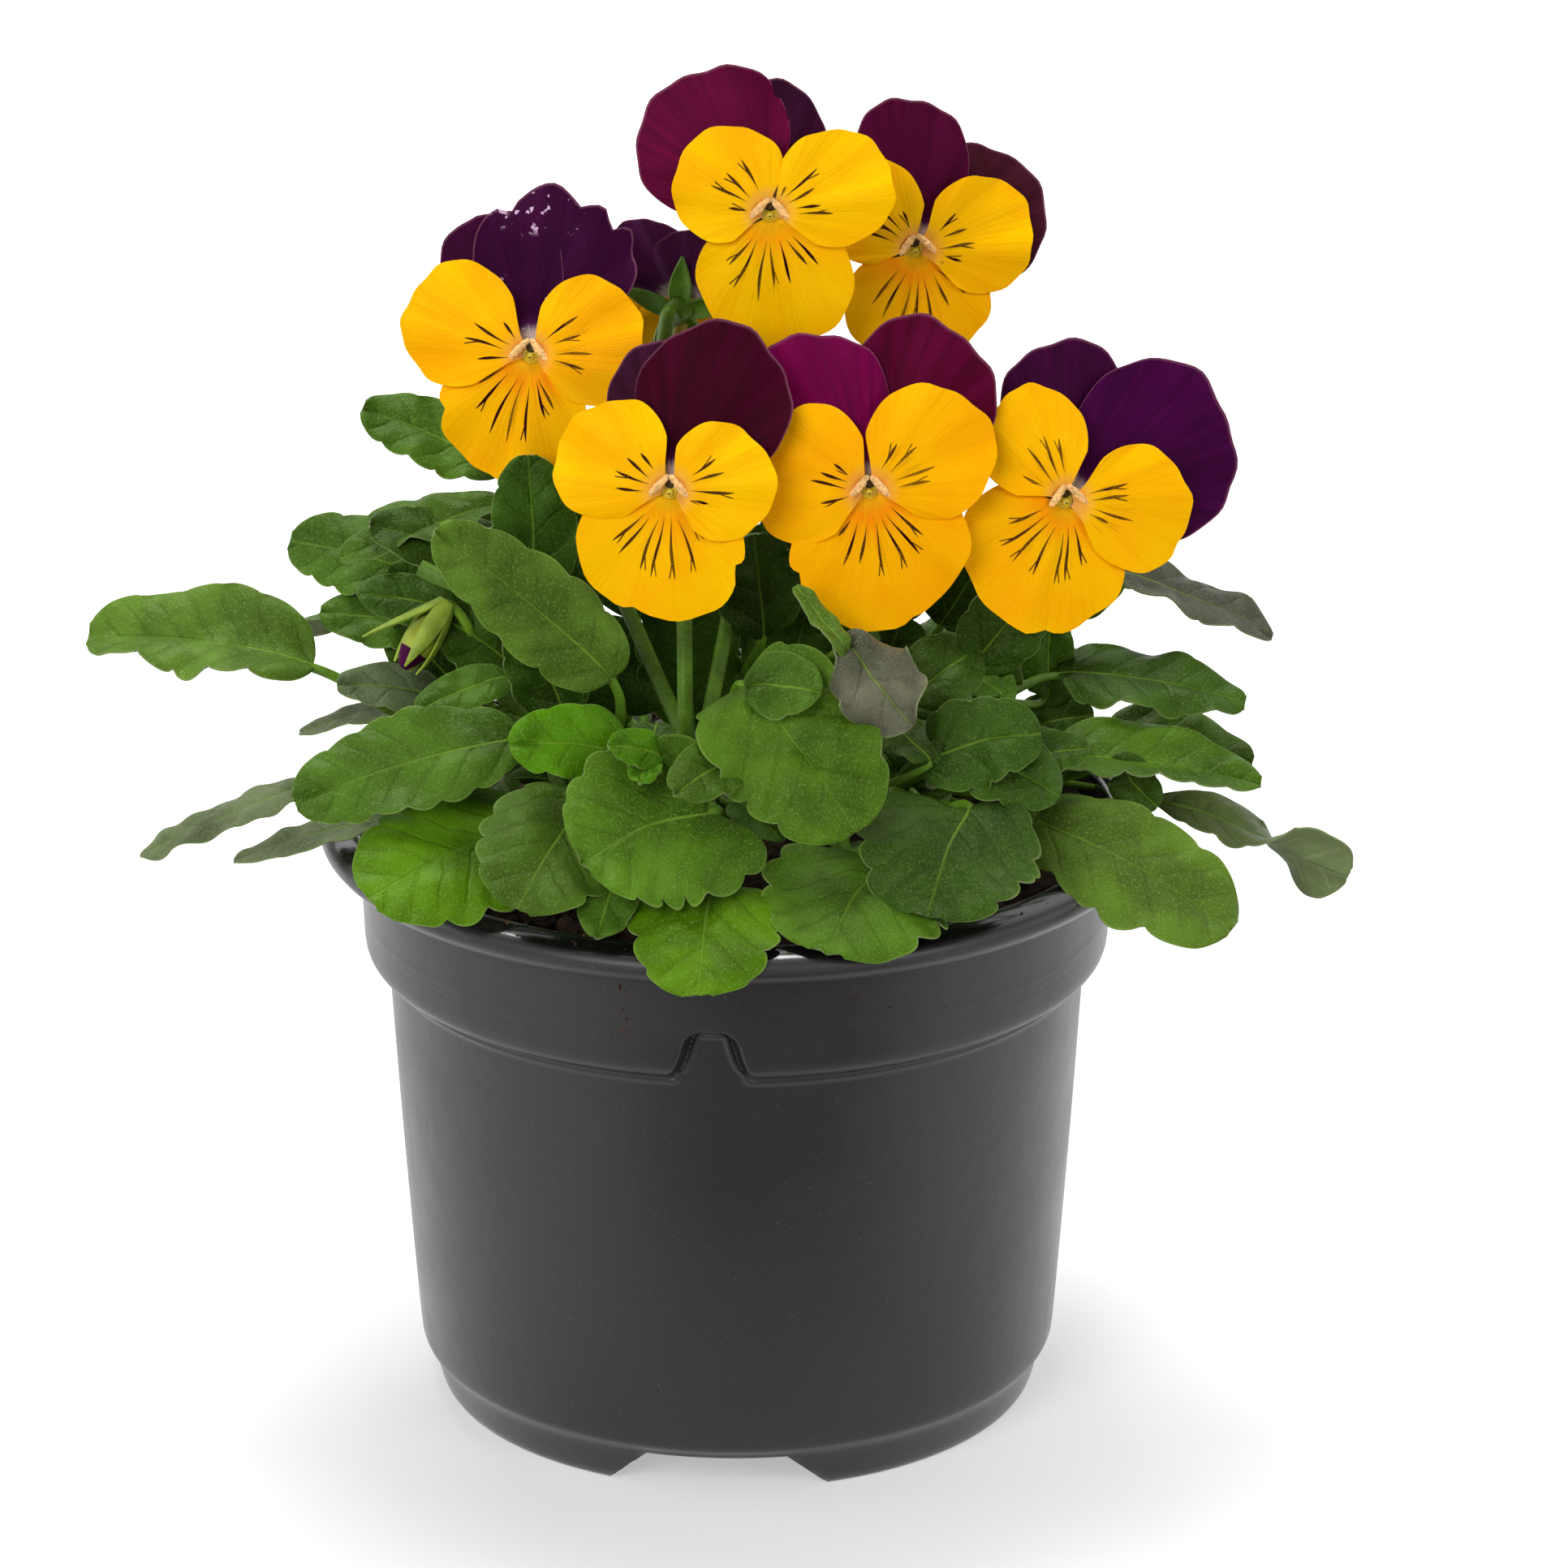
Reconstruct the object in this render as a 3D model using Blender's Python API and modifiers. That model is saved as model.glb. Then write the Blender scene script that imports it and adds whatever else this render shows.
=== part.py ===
"""Potted viola: a nursery pot of peat with a leafy crown, seven flowers and a bud.

The frame has its origin under the middle of the pot, on the surface the pot
stands on, with +Z up and the plant's best side towards -Y.  Every piece is one
closed solid.  Leaves and petals are thin sheets: a grid bent by a formula and
then given a wall.  Stalks are round wires that swell into the calyx.
"""
import math

import bmesh
import bpy
import numpy as np
from mathutils import Vector

MM = 0.001

# ---------------------------------------------------------------- driving sizes, in millimetres
SHEET = 0.8                 # pressed plastic sheet of the pot
SEAT = 0.3                  # clearance between two pieces that touch
POT_HEIGHT = 90.0
FLOOR_Z = 7.0               # raised floor inside the pot, middle of the sheet
FOOT_R = 44.2               # outer radius the pot stands on
BODY_LOW = (46.5, 9.0)      # body wall above the foot ring: radius, height
BODY_TOP = (50.5, 67.2)     # body wall under the collar
COLLAR_LOW = (54.2, 73.0)
COLLAR_TOP = (54.9, 86.0)
LIP_R = 60.8
FRONT_DEG = -93.5           # bearing of the tab and of one of the foot's gates
GATE_HEIGHT = 5.8
GATE_HALF_DEG = (12.9, 21.3)    # half widths of a gate at its top and on the ground
TAB_Z = (68.0, 75.5)
TAB_HALF_DEG = (3.2, 6.2)       # half widths of the tab at its top and its foot
DRAIN_HOLES = 6
DRAIN_R = 4.0
DRAIN_RING_R = 27.0
SOIL_EDGE_Z = 85.5
SOIL_CROWN_Z = 87.6
SHOOT_R = 1.5
STALK_R = 1.0
CALYX_R = 2.4
LEAF_WALL = 0.8
PETIOLE_HALF = 0.7
PETIOLE_ROWS = 0.34         # share of a leaf's rows that its petiole takes
PETIOLE_ROUTE = 0.5         # share of the midrib's route that its petiole takes
LEAF_FOLD = 0.22            # rise of a leaf's edge over its midrib, of its half width
PETAL_WALL = 0.5
UPPER_CLAW_R = 2.4          # where the upper petals begin, out from the throat
LOWER_CLAW_R = 1.6
CALYX_FRONT = -4.2          # face of the calyx behind the throat
STEP_CLEAR = 0.1            # extra clearance at the end of a shoot
SIDE_CLEAR = 0.2            # extra clearance at the side of a shoot

# ---------------------------------------------------------------- the eight shoots of the crown
# Each rises from the middle of the soil on a bent line: foot, bend, end.
SHOOTS = {
    "front_left": ((-4, -6, 89.5), (-14, -20, 95), (-24, -28, 104)),
    "front": ((-1, -7, 89.5), (-4, -18, 98), (-7, -24, 108)),
    "front_right": ((5, -5, 89.5), (16, -18, 95), (26, -24, 103)),
    "right": ((6, 0, 89.5), (20, -6, 97), (30, -12, 111)),
    "back_right": ((4, 5, 89.5), (18, 14, 96), (30, 18, 108)),
    "back": ((0, 7, 89.5), (-2, 18, 98), (-4, 24, 112)),
    "back_left": ((-4, 5, 89.5), (-17, 17, 96), (-28, 21, 108)),
    "left": ((-6, 0, 89.5), (-20, -3, 97), (-35, -5, 110)),
}

# ---------------------------------------------------------------- leaves
# name: shoot, place along it, blade's base, blade's tip, width, the way its
# upper side looks, belly (0.6 is widest near the base, 1 in the middle).
LEAVES = {
    "front_low": ("front", 0.55, (-3, -45, 96), (-5, -67, 86), 21, (0, -0.6, 0.8), 0.8),
    "front_centre": ("front", 0.75, (-3, -44, 105), (-21, -55, 102), 22, (0, -0.8, 0.6), 0.8),
    "front_right_low": ("front_right", 0.5, (21, -40, 96), (13, -60, 91), 26, (0, -0.6, 0.8), 0.9),
    "front_right": ("front_right", 0.75, (33, -36, 103), (27, -56, 95), 25, (0, -0.75, 0.65), 0.8),
    "right_large": ("front_right", 0.95, (41, -24, 97), (71, -36, 86), 20, (0.2, -0.6, 0.7), 0.75),
    "front_left_round": ("front_left", 0.75, (-21, -39, 104), (-30, -56, 96), 18, (0, -0.75, 0.65), 0.85),
    "left_low": ("front_left", 0.55, (-27, -31, 98), (-51, -49, 95), 19, (-0.1, -0.65, 0.75), 0.85),
    "left_large": ("front_left", 0.95, (-30, -31, 112), (-62, -38, 106), 17, (0, -0.7, 0.7), 0.9),
    "bright_left": ("front", 0.85, (-16, -36, 111), (-31, -43, 115), 12, (0, -0.8, 0.6), 0.7),
    "centre_large": ("front_right", 0.2, (2, -38, 121), (17, -51, 105), 20, (0, -0.85, 0.5), 0.85),
    "centre_small": ("front", 0.98, (0, -41, 122), (9, -46, 124.5), 9, (0, -0.8, 0.6), 0.8),
    "centre_dark": ("back", 0.45, (4, -10, 119), (3, -16, 136), 13, (0.2, -0.9, 0.3), 0.8),
    "centre_left_high": ("front_left", 0.85, (-18, -33, 121), (-42, -40, 145), 15.5, (0.1, -0.9, 0.4), 0.72),
    "curled_purple": ("front_right", 0.4, (15, -39, 128), (23, -50, 120), 10, (0.3, -0.8, 0.3), 1.2),
    "right_mid": ("right", 0.85, (27, -31, 108), (43, -33, 113), 13, (0, -0.8, 0.6), 0.8),
    "right_inner": ("front_right", 0.9, (38, -22, 106), (50, -20, 105), 8, (0, -0.6, 0.8), 0.8),
    "far_left": ("left", 0.9, (-61, -5, 113), (-94, 0, 117), 17, (0, -0.45, 0.9), 0.75),
    "left_high_far": ("left", 0.75, (-44, 8, 121), (-67, 14, 127.5), 14, (0, -0.7, 0.7), 0.7),
    "left_high_near": ("left", 0.97, (-33, -3, 136), (-57, -7, 131), 9, (0, -0.3, 0.95), 0.8),
    "left_behind_flower": ("back_left", 0.9, (-34, 10, 136), (-55, 12, 146), 15, (0, -0.6, 0.8), 0.8),
    "left_bud": ("left", 0.6, (-43, 4, 114.5), (-61, 5, 118.5), 9, (0, -0.6, 0.8), 0.8),
    "left_mid": ("left", 0.8, (-32, -20, 118), (-45, -27, 116), 8, (0, -0.5, 0.85), 0.8),
    "left_pale_low": ("left", 0.5, (-60, -2, 95), (-87.5, -4, 84), 9, (0, -0.15, 1), 0.8),
    "left_pale_rim": ("left", 0.35, (-50, -12, 95), (-73, -14, 87), 8, (0, -0.15, 1), 0.8),
    "right_high": ("back_right", 0.95, (54, 10, 122.5), (79, 8, 114), 12, (0.1, -0.35, 0.9), 0.8),
    "right_upper": ("right", 0.9, (48, 0, 111.5), (74, -4, 107.3), 13, (0, -0.5, 0.85), 0.8),
    "right_middle_back": ("right", 0.6, (55, 8, 99), (76, 6, 95), 10, (0, -0.2, 1), 0.8),
    "right_middle": ("right", 0.45, (48, -11, 104), (76, -13, 99.5), 12, (0, -0.45, 0.9), 0.8),
    "far_right": ("right", 0.3, (61, -2, 92.5), (91, -6, 79.5), 13, (0, -0.6, 0.75), 1.15),
    "back_low": ("back", 0.5, (6, 42, 98), (14, 67, 88), 21, (0, 0.5, 0.85), 0.75),
    "back_low_left": ("back_left", 0.6, (-28, 36, 99), (-44, 55, 91), 20, (-0.3, 0.5, 0.8), 0.75),
    "back_low_right": ("back_right", 0.55, (34, 32, 99), (52, 48, 90), 20, (0.3, 0.5, 0.8), 0.75),
    "back_left": ("back_left", 0.85, (-44, 30, 110), (-68, 38, 104), 16, (-0.2, 0.4, 0.9), 0.75),
    "back_right": ("back_right", 0.8, (43, 25, 104), (63, 33, 99), 16, (0.2, 0.4, 0.9), 0.75),
    "back_high": ("back", 0.9, (-8, 36, 120), (-14, 54, 122), 17, (0, 0.5, 0.85), 0.75),
}

# ---------------------------------------------------------------- flowers
# throat, yaw and pitch of the face (yaw 0 looks along -Y, pitch lifts it),
# shoot, place along it, bow of the stalk.
FLOWERS = {
    1: ((5, -6, 181), -4, 14, "front", 0.82, (2, 6, 0)),
    2: ((26, 10, 171), 14, 16, "right", 0.62, (4, 6, 0)),
    3: ((-29, -12, 162), -12, 16, "front", 0.92, (-2, 6, 0)),
    4: ((-9, -34, 149), -8, 14, "front", 1.0, (0, 2, 0)),
    5: ((19, -28, 147), 3, 12, "right", 0.8, (-3, 5, 0)),
    6: ((47, -20, 143), 14, 16, "right", 1.0, (3, 5, 0)),
    7: ((-8, 22, 160.5), 165, 12, "back", 1.0, (0, -3, 0)),
}

# Each petal's bearing in the face (90 is up), length and width:
# lip, left wing, right wing, front upper petal, rear upper petal.
PETALS = {
    1: ((-82, 19.0, 24.0), (146, 15.5, 17.5), (23, 18.3, 17.0), (131, 24.4, 23.2), (96, 20.4, 19.0)),
    2: ((-92, 17.0, 22.5), (135, 15.5, 15.5), (12, 17.7, 17.0), (92, 21.3, 18.0), (28, 21.6, 23.0)),
    3: ((-103, 18.2, 23.0), (160, 18.9, 17.4), (17, 17.0, 18.0), (72, 24.3, 24.0), (121, 21.6, 19.0)),
    4: ((-97, 18.5, 25.4), (153, 17.2, 17.2), (14, 14.9, 17.0), (67, 24.2, 22.5), (92, 20.6, 19.0)),
    5: ((-80, 19.7, 28.0), (163, 17.5, 19.5), (33, 19.0, 19.5), (121, 25.2, 20.5), (64, 24.6, 22.5)),
    6: ((-118, 19.2, 24.0), (117, 17.5, 16.0), (-10, 18.4, 17.5), (29, 26.4, 26.0), (89, 21.8, 20.5)),
    7: ((-90, 14.5, 18.0), (156, 13.0, 13.5), (24, 13.0, 13.5), (63, 15.2, 15.0), (117, 14.8, 14.5)),
}
PETAL_NAMES = ("lip", "left_wing", "right_wing", "front_upper", "rear_upper")
LAYERS = (0.0, 0.9, 0.9, -1.9, -2.7)    # height of each petal's layer over the face

BUD = {"top": (-42, -10, 124.5), "tip": (-47.5, -13.5, 116), "shoot": "left", "place": 1.0}

# ---------------------------------------------------------------- clean start
for old in list(bpy.data.objects):
    bpy.data.objects.remove(old, do_unlink=True)
viola = bpy.data.collections.new("potted_viola")
bpy.context.scene.collection.children.link(viola)
cutters = bpy.data.collections.new("cutters")
bpy.context.scene.collection.children.link(cutters)


# ---------------------------------------------------------------- helpers
def finish(name, colour, roughness, metallic=0.0):
    """A Principled material."""
    material = bpy.data.materials.new(name)
    material.use_nodes = True
    shader = material.node_tree.nodes["Principled BSDF"]
    shader.inputs["Base Color"].default_value = (*colour, 1)
    shader.inputs["Roughness"].default_value = roughness
    shader.inputs["Metallic"].default_value = metallic
    return material


def add_object(name, data, material, collection=viola):
    """Link a mesh or curve as a named object."""
    made = bpy.data.objects.new(name, data)
    collection.objects.link(made)
    if material is not None:
        data.materials.append(material)
    return made


def unit(vector):
    """A vector of length one."""
    vector = np.asarray(vector, float)
    return vector / np.linalg.norm(vector)


def ramp(x, low, high):
    """0 below low, 1 above high, straight between."""
    return float(np.clip((x - low) / (high - low), 0, 1))


def bent_line(foot, bend, end, t):
    """A point, or points, on the parabola that passes through bend half way along."""
    foot, bend, end = (np.asarray(p, float) for p in (foot, bend, end))
    t = np.asarray(t, float)[..., None]
    control = 2 * bend - (foot + end) / 2
    return (1 - t) ** 2 * foot + 2 * t * (1 - t) * control + t ** 2 * end


def smooth_route(points, count):
    """Points at even steps along a Catmull-Rom curve through the given ones."""
    knots = np.asarray(points, float)
    knots = np.vstack([2 * knots[0] - knots[1], knots, 2 * knots[-1] - knots[-2]])
    route = []
    for s in np.linspace(0, len(points) - 1.0001, count):
        i, u = int(s), s - int(s)
        a, b, c, d = knots[i:i + 4]
        route.append(0.5 * (2 * b + (c - a) * u + (2 * a - 5 * b + 4 * c - d) * u ** 2
                            + (3 * b - a - 3 * c + d) * u ** 3))
    return np.array(route)


def bent_sheet(name, columns, rows, shape, wall, material):
    """A grid with both parameters from 0 to 1, bent by shape(u, v), as a solid sheet."""
    mesh = bpy.data.meshes.new(name)
    bm = bmesh.new()
    bmesh.ops.create_grid(bm, x_segments=columns, y_segments=rows, size=1.0)
    for vertex in bm.verts:
        vertex.co = Vector(shape((vertex.co.y + 1) / 2, vertex.co.x) * MM)
    bm.to_mesh(mesh)
    bm.free()
    sheet = add_object(name, mesh, material)
    solid = sheet.modifiers.new("wall", "SOLIDIFY")
    solid.thickness = wall * MM
    solid.offset = 0
    mesh.shade_smooth()
    return sheet


def wire(name, points, radii, material, sides=2):
    """A round wire along the points, with its own radius at each, as a mesh with welded caps."""
    curve = bpy.data.curves.new(name, "CURVE")
    curve.dimensions = "3D"
    curve.bevel_depth = MM
    curve.bevel_resolution = sides
    curve.render_resolution_u = 0
    curve.use_fill_caps = True
    spline = curve.splines.new("POLY")
    spline.points.add(len(points) - 1)
    for point, place, radius in zip(spline.points, points, radii):
        point.co = (*(np.asarray(place) * MM), 1)
        point.radius = radius
    holder = add_object(name + "_line", curve, None, cutters)
    evaluated = holder.evaluated_get(bpy.context.evaluated_depsgraph_get())
    mesh = bpy.data.meshes.new_from_object(evaluated)
    bpy.data.objects.remove(holder)
    bm = bmesh.new()
    bm.from_mesh(mesh)
    bmesh.ops.remove_doubles(bm, verts=bm.verts, dist=0.00001)
    bmesh.ops.recalc_face_normals(bm, faces=bm.faces)
    bm.to_mesh(mesh)
    bm.free()
    mesh.name = name
    mesh.shade_smooth()
    return add_object(name, mesh, material)


def hide_cutter(piece):
    """Keep a helper solid out of the model."""
    for collection in list(piece.users_collection):
        collection.objects.unlink(piece)
    cutters.objects.link(piece)
    piece.hide_render = True
    piece.display_type = "WIRE"


def combine(target, others, operation):
    """Boolean the helper solids into, or out of, the target."""
    for other in others:
        boolean = target.modifiers.new(other.name, "BOOLEAN")
        boolean.operation = operation
        boolean.object = other
        hide_cutter(other)


def ball(name, centre, radius, segments=10, rings=6):
    """A sphere at a place given in millimetres."""
    mesh = bpy.data.meshes.new(name)
    bm = bmesh.new()
    bmesh.ops.create_uvsphere(bm, u_segments=segments, v_segments=rings, radius=radius * MM)
    bmesh.ops.translate(bm, verts=bm.verts, vec=Vector(np.asarray(centre) * MM))
    bm.to_mesh(mesh)
    bm.free()
    return add_object(name, mesh, None)


# ---------------------------------------------------------------- the pot
def sheet_middle():
    """The middle of the pressed sheet, from the floor's centre out and up to the lip's free edge."""
    half = SHEET / 2
    return np.array([
        (0, FLOOR_Z), (38.5, FLOOR_Z), (40.6, FLOOR_Z - 1.2), (41.8, 3.0), (42.4, half),
        (FOOT_R - half, half), (44.9, 5.0), (45.5, 6.6), (46.3, 7.6), BODY_LOW, (48.5, 36.0),
        (50.3, 64.0), BODY_TOP, (51.2, 68.5), (53.5, 70.2), COLLAR_LOW, (54.4, 76.5), COLLAR_TOP,
        (55.3, 88.8), (56.7, POT_HEIGHT - half), (59.2, 88.9), (60.4, 88.0), (LIP_R - 0.2, 86.7),
        (58.8, 85.0),
    ])


def offset_line(points, distance):
    """A plane line moved sideways, to its left when the distance is positive."""
    along = np.gradient(points, axis=0)
    along /= np.linalg.norm(along, axis=1, keepdims=True)
    side = np.stack([-along[:, 1], along[:, 0]], axis=1)
    return points + side * distance


def pot_section():
    """The closed half section of the sheet: under side outwards, then the inner side back."""
    middle = sheet_middle()
    under = offset_line(middle, -SHEET / 2)
    inner = offset_line(middle, SHEET / 2)
    under[0, 0] = 0
    inner[0, 0] = 0
    under[4:6, 1] = 0.0
    return under, inner


def around(angle, bearing):
    """How far an angle is from a bearing, in degrees, either way."""
    return abs((angle - bearing + 180) % 360 - 180)


def dented(radius, height, angle, inside):
    """Move a point of the pot into its gates under the foot and the tab in its collar."""
    away = min(around(angle, FRONT_DEG + turn) for turn in (0, 120, 240))
    gate = GATE_HEIGHT * (1 - ramp(away, *GATE_HALF_DEG))
    if radius > 41 and height < FLOOR_Z:
        height = max(height, gate + (SHEET if inside else 0.0)) if gate > 0.01 else height
    if 50 < radius < 56 and TAB_Z[0] - 1 < height < TAB_Z[1] + 0.6:
        up = ramp(height, *TAB_Z)
        half = TAB_HALF_DEG[1] + (TAB_HALF_DEG[0] - TAB_HALF_DEG[1]) * up
        depth = 1 - ramp(around(angle, FRONT_DEG), half - 0.6, half + 0.9)
        body = BODY_TOP[0] + 0.065 * (height - BODY_TOP[1]) + (-0.4 if inside else 0.4)
        radius += (min(body, radius) - radius) * depth
    return radius, height


def pot_angles():
    """Bearings of the meridians: even ones, and more at the edges of the gates and the tab."""
    special = [FRONT_DEG + d for d in (-7.1, -5.4, -3.4, -2.4, 0, 2.4, 3.4, 5.4, 7.1)]
    for turn in (0, 120, 240):
        for half in GATE_HALF_DEG:
            special += [FRONT_DEG + turn + half, FRONT_DEG + turn - half]
    special = [a % 360 for a in special]
    even = [a for a in np.arange(0, 360, 12.0) if all(around(a, s) > 5 for s in special)]
    return sorted(special + even)


def make_pot():
    """Wrap a grid round the axis along the closed section, then press the dents and holes."""
    under, inner = pot_section()
    loop = [(p, False) for p in under] + [(p, True) for p in inner[::-1]]
    angles = pot_angles()
    mesh = bpy.data.meshes.new("pot")
    bm = bmesh.new()
    bmesh.ops.create_grid(bm, x_segments=len(angles), y_segments=len(loop) - 1, size=1.0)
    for vertex in bm.verts:
        i = round((vertex.co.x + 1) / 2 * len(angles)) % len(angles)
        j = round((vertex.co.y + 1) / 2 * (len(loop) - 1))
        (radius, height), inside = loop[j]
        radius, height = dented(radius, height, angles[i], inside)
        turn = math.radians(angles[i])
        vertex.co = Vector((radius * math.cos(turn), radius * math.sin(turn), height)) * MM
    bmesh.ops.remove_doubles(bm, verts=bm.verts, dist=0.00001)
    bmesh.ops.recalc_face_normals(bm, faces=bm.faces)
    bm.to_mesh(mesh)
    bm.free()
    mesh.shade_smooth()
    pot = add_object("pot", mesh, finish("black_pot", (0.04, 0.037, 0.04), 0.42))
    holes = []
    for k in range(DRAIN_HOLES):
        turn = math.radians(FRONT_DEG + 60 * k + 30)
        bpy.ops.mesh.primitive_cylinder_add(
            vertices=10, radius=DRAIN_R * MM, depth=4 * SHEET * MM,
            location=(DRAIN_RING_R * MM * math.cos(turn), DRAIN_RING_R * MM * math.sin(turn),
                      FLOOR_Z * MM))
        hole = bpy.context.object
        hole.name = f"drain_hole_{k + 1}"
        holes.append(hole)
    combine(pot, holes, "DIFFERENCE")
    return pot


def make_soil():
    """A turned plug of peat, clear of the pot's inner side all round."""
    profile = [(0, SOIL_CROWN_Z), (20, SOIL_CROWN_Z - 0.3), (40, SOIL_CROWN_Z - 1),
               (53.6, SOIL_EDGE_Z), (53.2, 78.0), (49.2, 76.8), (49.2, 66.0), (45.2, 9.4),
               (44.4, FLOOR_Z + SHEET / 2 + SEAT), (0, FLOOR_Z + SHEET / 2 + SEAT)]
    mesh = bpy.data.meshes.new("potting_soil")
    bm = bmesh.new()
    vertices = [bm.verts.new((r * MM, 0, z * MM)) for r, z in profile]
    for first, second in zip(vertices, vertices[1:]):
        bm.edges.new((first, second))
    bm.to_mesh(mesh)
    bm.free()
    soil = add_object("potting_soil", mesh, finish("peat", (0.035, 0.022, 0.015), 0.95))
    turn = soil.modifiers.new("turn", "SCREW")
    turn.steps = turn.render_steps = 30
    turn.use_merge_vertices = True
    turn.merge_threshold = 0.00001
    return soil


# ---------------------------------------------------------------- the crown and what springs from it
def shoot_point(shoot, place):
    """A point on a shoot's middle line."""
    return bent_line(*SHOOTS[shoot], place)


def springing(shoot, place, towards, own_half):
    """Where a petiole or stalk starts: off the shoot's skin, on the side it leaves from."""
    middle = shoot_point(shoot, place)
    along = unit(shoot_point(shoot, min(place + 0.02, 1.02)) - shoot_point(shoot, place - 0.02))
    way = np.asarray(towards, float) - middle
    if place < 0.99:
        way = way - along * (way @ along) * 0.7
    way = unit(way)
    slant = abs(float(way @ along))
    if place > 0.99:
        return middle + way * (SEAT + STEP_CLEAR + SHOOT_R * math.sqrt(1 - slant * slant)), way
    return middle + way * (SHOOT_R + SEAT + SIDE_CLEAR + own_half * slant), way


def make_crown(material):
    """A rounded root collar with eight shoots, grown together as one piece."""
    base = ball("plant_crown", (0, 0, SOIL_CROWN_Z + SEAT + 3.9), 1.0, 14, 8)
    for vertex in base.data.vertices:
        middle = Vector((0, 0, (SOIL_CROWN_Z + SEAT + 3.9) * MM))
        away = vertex.co - middle
        vertex.co = middle + Vector((away.x * 8.5, away.y * 8.5, away.z * 3.9))
    base.data.materials.append(material)
    base.data.shade_smooth()
    shoots = []
    for shoot, line in SHOOTS.items():
        points = bent_line(*line, np.linspace(0, 1, 7))
        shoots.append(wire("shoot_" + shoot, points, [SHOOT_R] * 7, None, 1))
    combine(base, shoots, "UNION")
    return base


def leaf_shape(start, way, base, tip, width, face, belly):
    """The leaf as a function of u along it and v across it.

    The midrib leaves the shoot square to it, passes the blade's base and runs
    to the tip.  The half width is the petiole's up to the base, and then
    sin(pi * s ** belly) ** 0.6 of the leaf's, with s from 0 to 1 along the
    blade.  Both halves rise from the midrib like a shallow valley.
    """
    start, base, tip = (np.asarray(p, float) for p in (start, base, tip))
    reach = np.linalg.norm(base - start)
    route = smooth_route([start, start + way * reach * 0.25 + (base - start) * 0.25,
                          base, (base + tip) / 2 + np.array([0, 0, 0.06 * width]), tip], 61)
    stations = np.linspace(0, 1, 61)

    def shape(u, v):
        w = ramp(u, PETIOLE_ROWS, 1)
        s = 0.3 * w + 0.7 * math.sin(w * math.pi / 2)
        t = PETIOLE_ROUTE * (u / PETIOLE_ROWS if w == 0 else 1) + s * (1 - PETIOLE_ROUTE)
        place = np.array([np.interp(t, stations, route[:, k]) for k in range(3)])
        ahead = np.array([np.interp(min(t + 0.02, 1), stations, route[:, k]) for k in range(3)])
        behind = np.array([np.interp(max(t - 0.02, 0), stations, route[:, k]) for k in range(3)])
        along = unit(ahead - behind)
        up = np.asarray(face, float) - along * (along @ np.asarray(face, float))
        up = unit(up)
        across = np.cross(along, up)
        swell = math.sin(math.pi * min(0.985, max(s, 0) ** belly)) ** 0.6 if s > 0 else 0.0
        half = max(PETIOLE_HALF, width / 2 * swell)
        return place + across * half * v + up * (LEAF_FOLD * half * abs(v))

    return shape


def make_leaves(material):
    """Every leaf with its petiole, as one thin solid each."""
    for name, (shoot, place, base, tip, width, face, belly) in LEAVES.items():
        start, way = springing(shoot, place, base, PETIOLE_HALF)
        shape = leaf_shape(start, way, base, tip, width, face, belly)
        bent_sheet("leaf_" + name, 2, 9, shape, LEAF_WALL, material)


# ---------------------------------------------------------------- flowers
def face_axes(yaw, pitch):
    """Right, up and outward directions of a flower's face."""
    yaw, pitch = math.radians(yaw), math.radians(pitch)
    out = np.array([math.sin(yaw) * math.cos(pitch), -math.cos(yaw) * math.cos(pitch),
                    math.sin(pitch)])
    right = np.array([math.cos(yaw), math.sin(yaw), 0.0])
    return right, np.cross(out, right), out


def petal_shape(flower, bearing, length, width, layer):
    """A petal as a fan about the throat.

    Along a ray at v of its half angle the petal is cos(81 degrees * v) ** 0.45
    of its length long, and the half angle grows with the petal's width.  The
    face is a shallow saddle: the upper half leans back, and every petal curls
    back a little at its rim.
    """
    throat, yaw, pitch = flower[:3]
    right, up, out = face_axes(yaw, pitch)
    half_angle = min(82, 54 + 69 * (width / length - 0.935))
    claw = UPPER_CLAW_R if layer < 0 else LOWER_CLAW_R

    def shape(u, v):
        turn = math.radians(bearing + half_angle * v)
        ray = length * math.cos(math.radians(81) * v) ** 0.45
        r = claw + (ray - claw) * u
        x, y = r * math.cos(turn), r * math.sin(turn)
        height = layer - 0.10 * max(y, 0) - 0.004 * r * r + 0.04 * abs(x)
        return np.asarray(throat, float) + right * x + up * y + out * height

    return shape


def in_face(flower, x, y, z):
    """A point given in a flower's own face, in the object's frame."""
    throat, yaw, pitch = flower[:3]
    right, up, out = face_axes(yaw, pitch)
    return np.asarray(throat, float) + right * x + up * y + out * z


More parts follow.
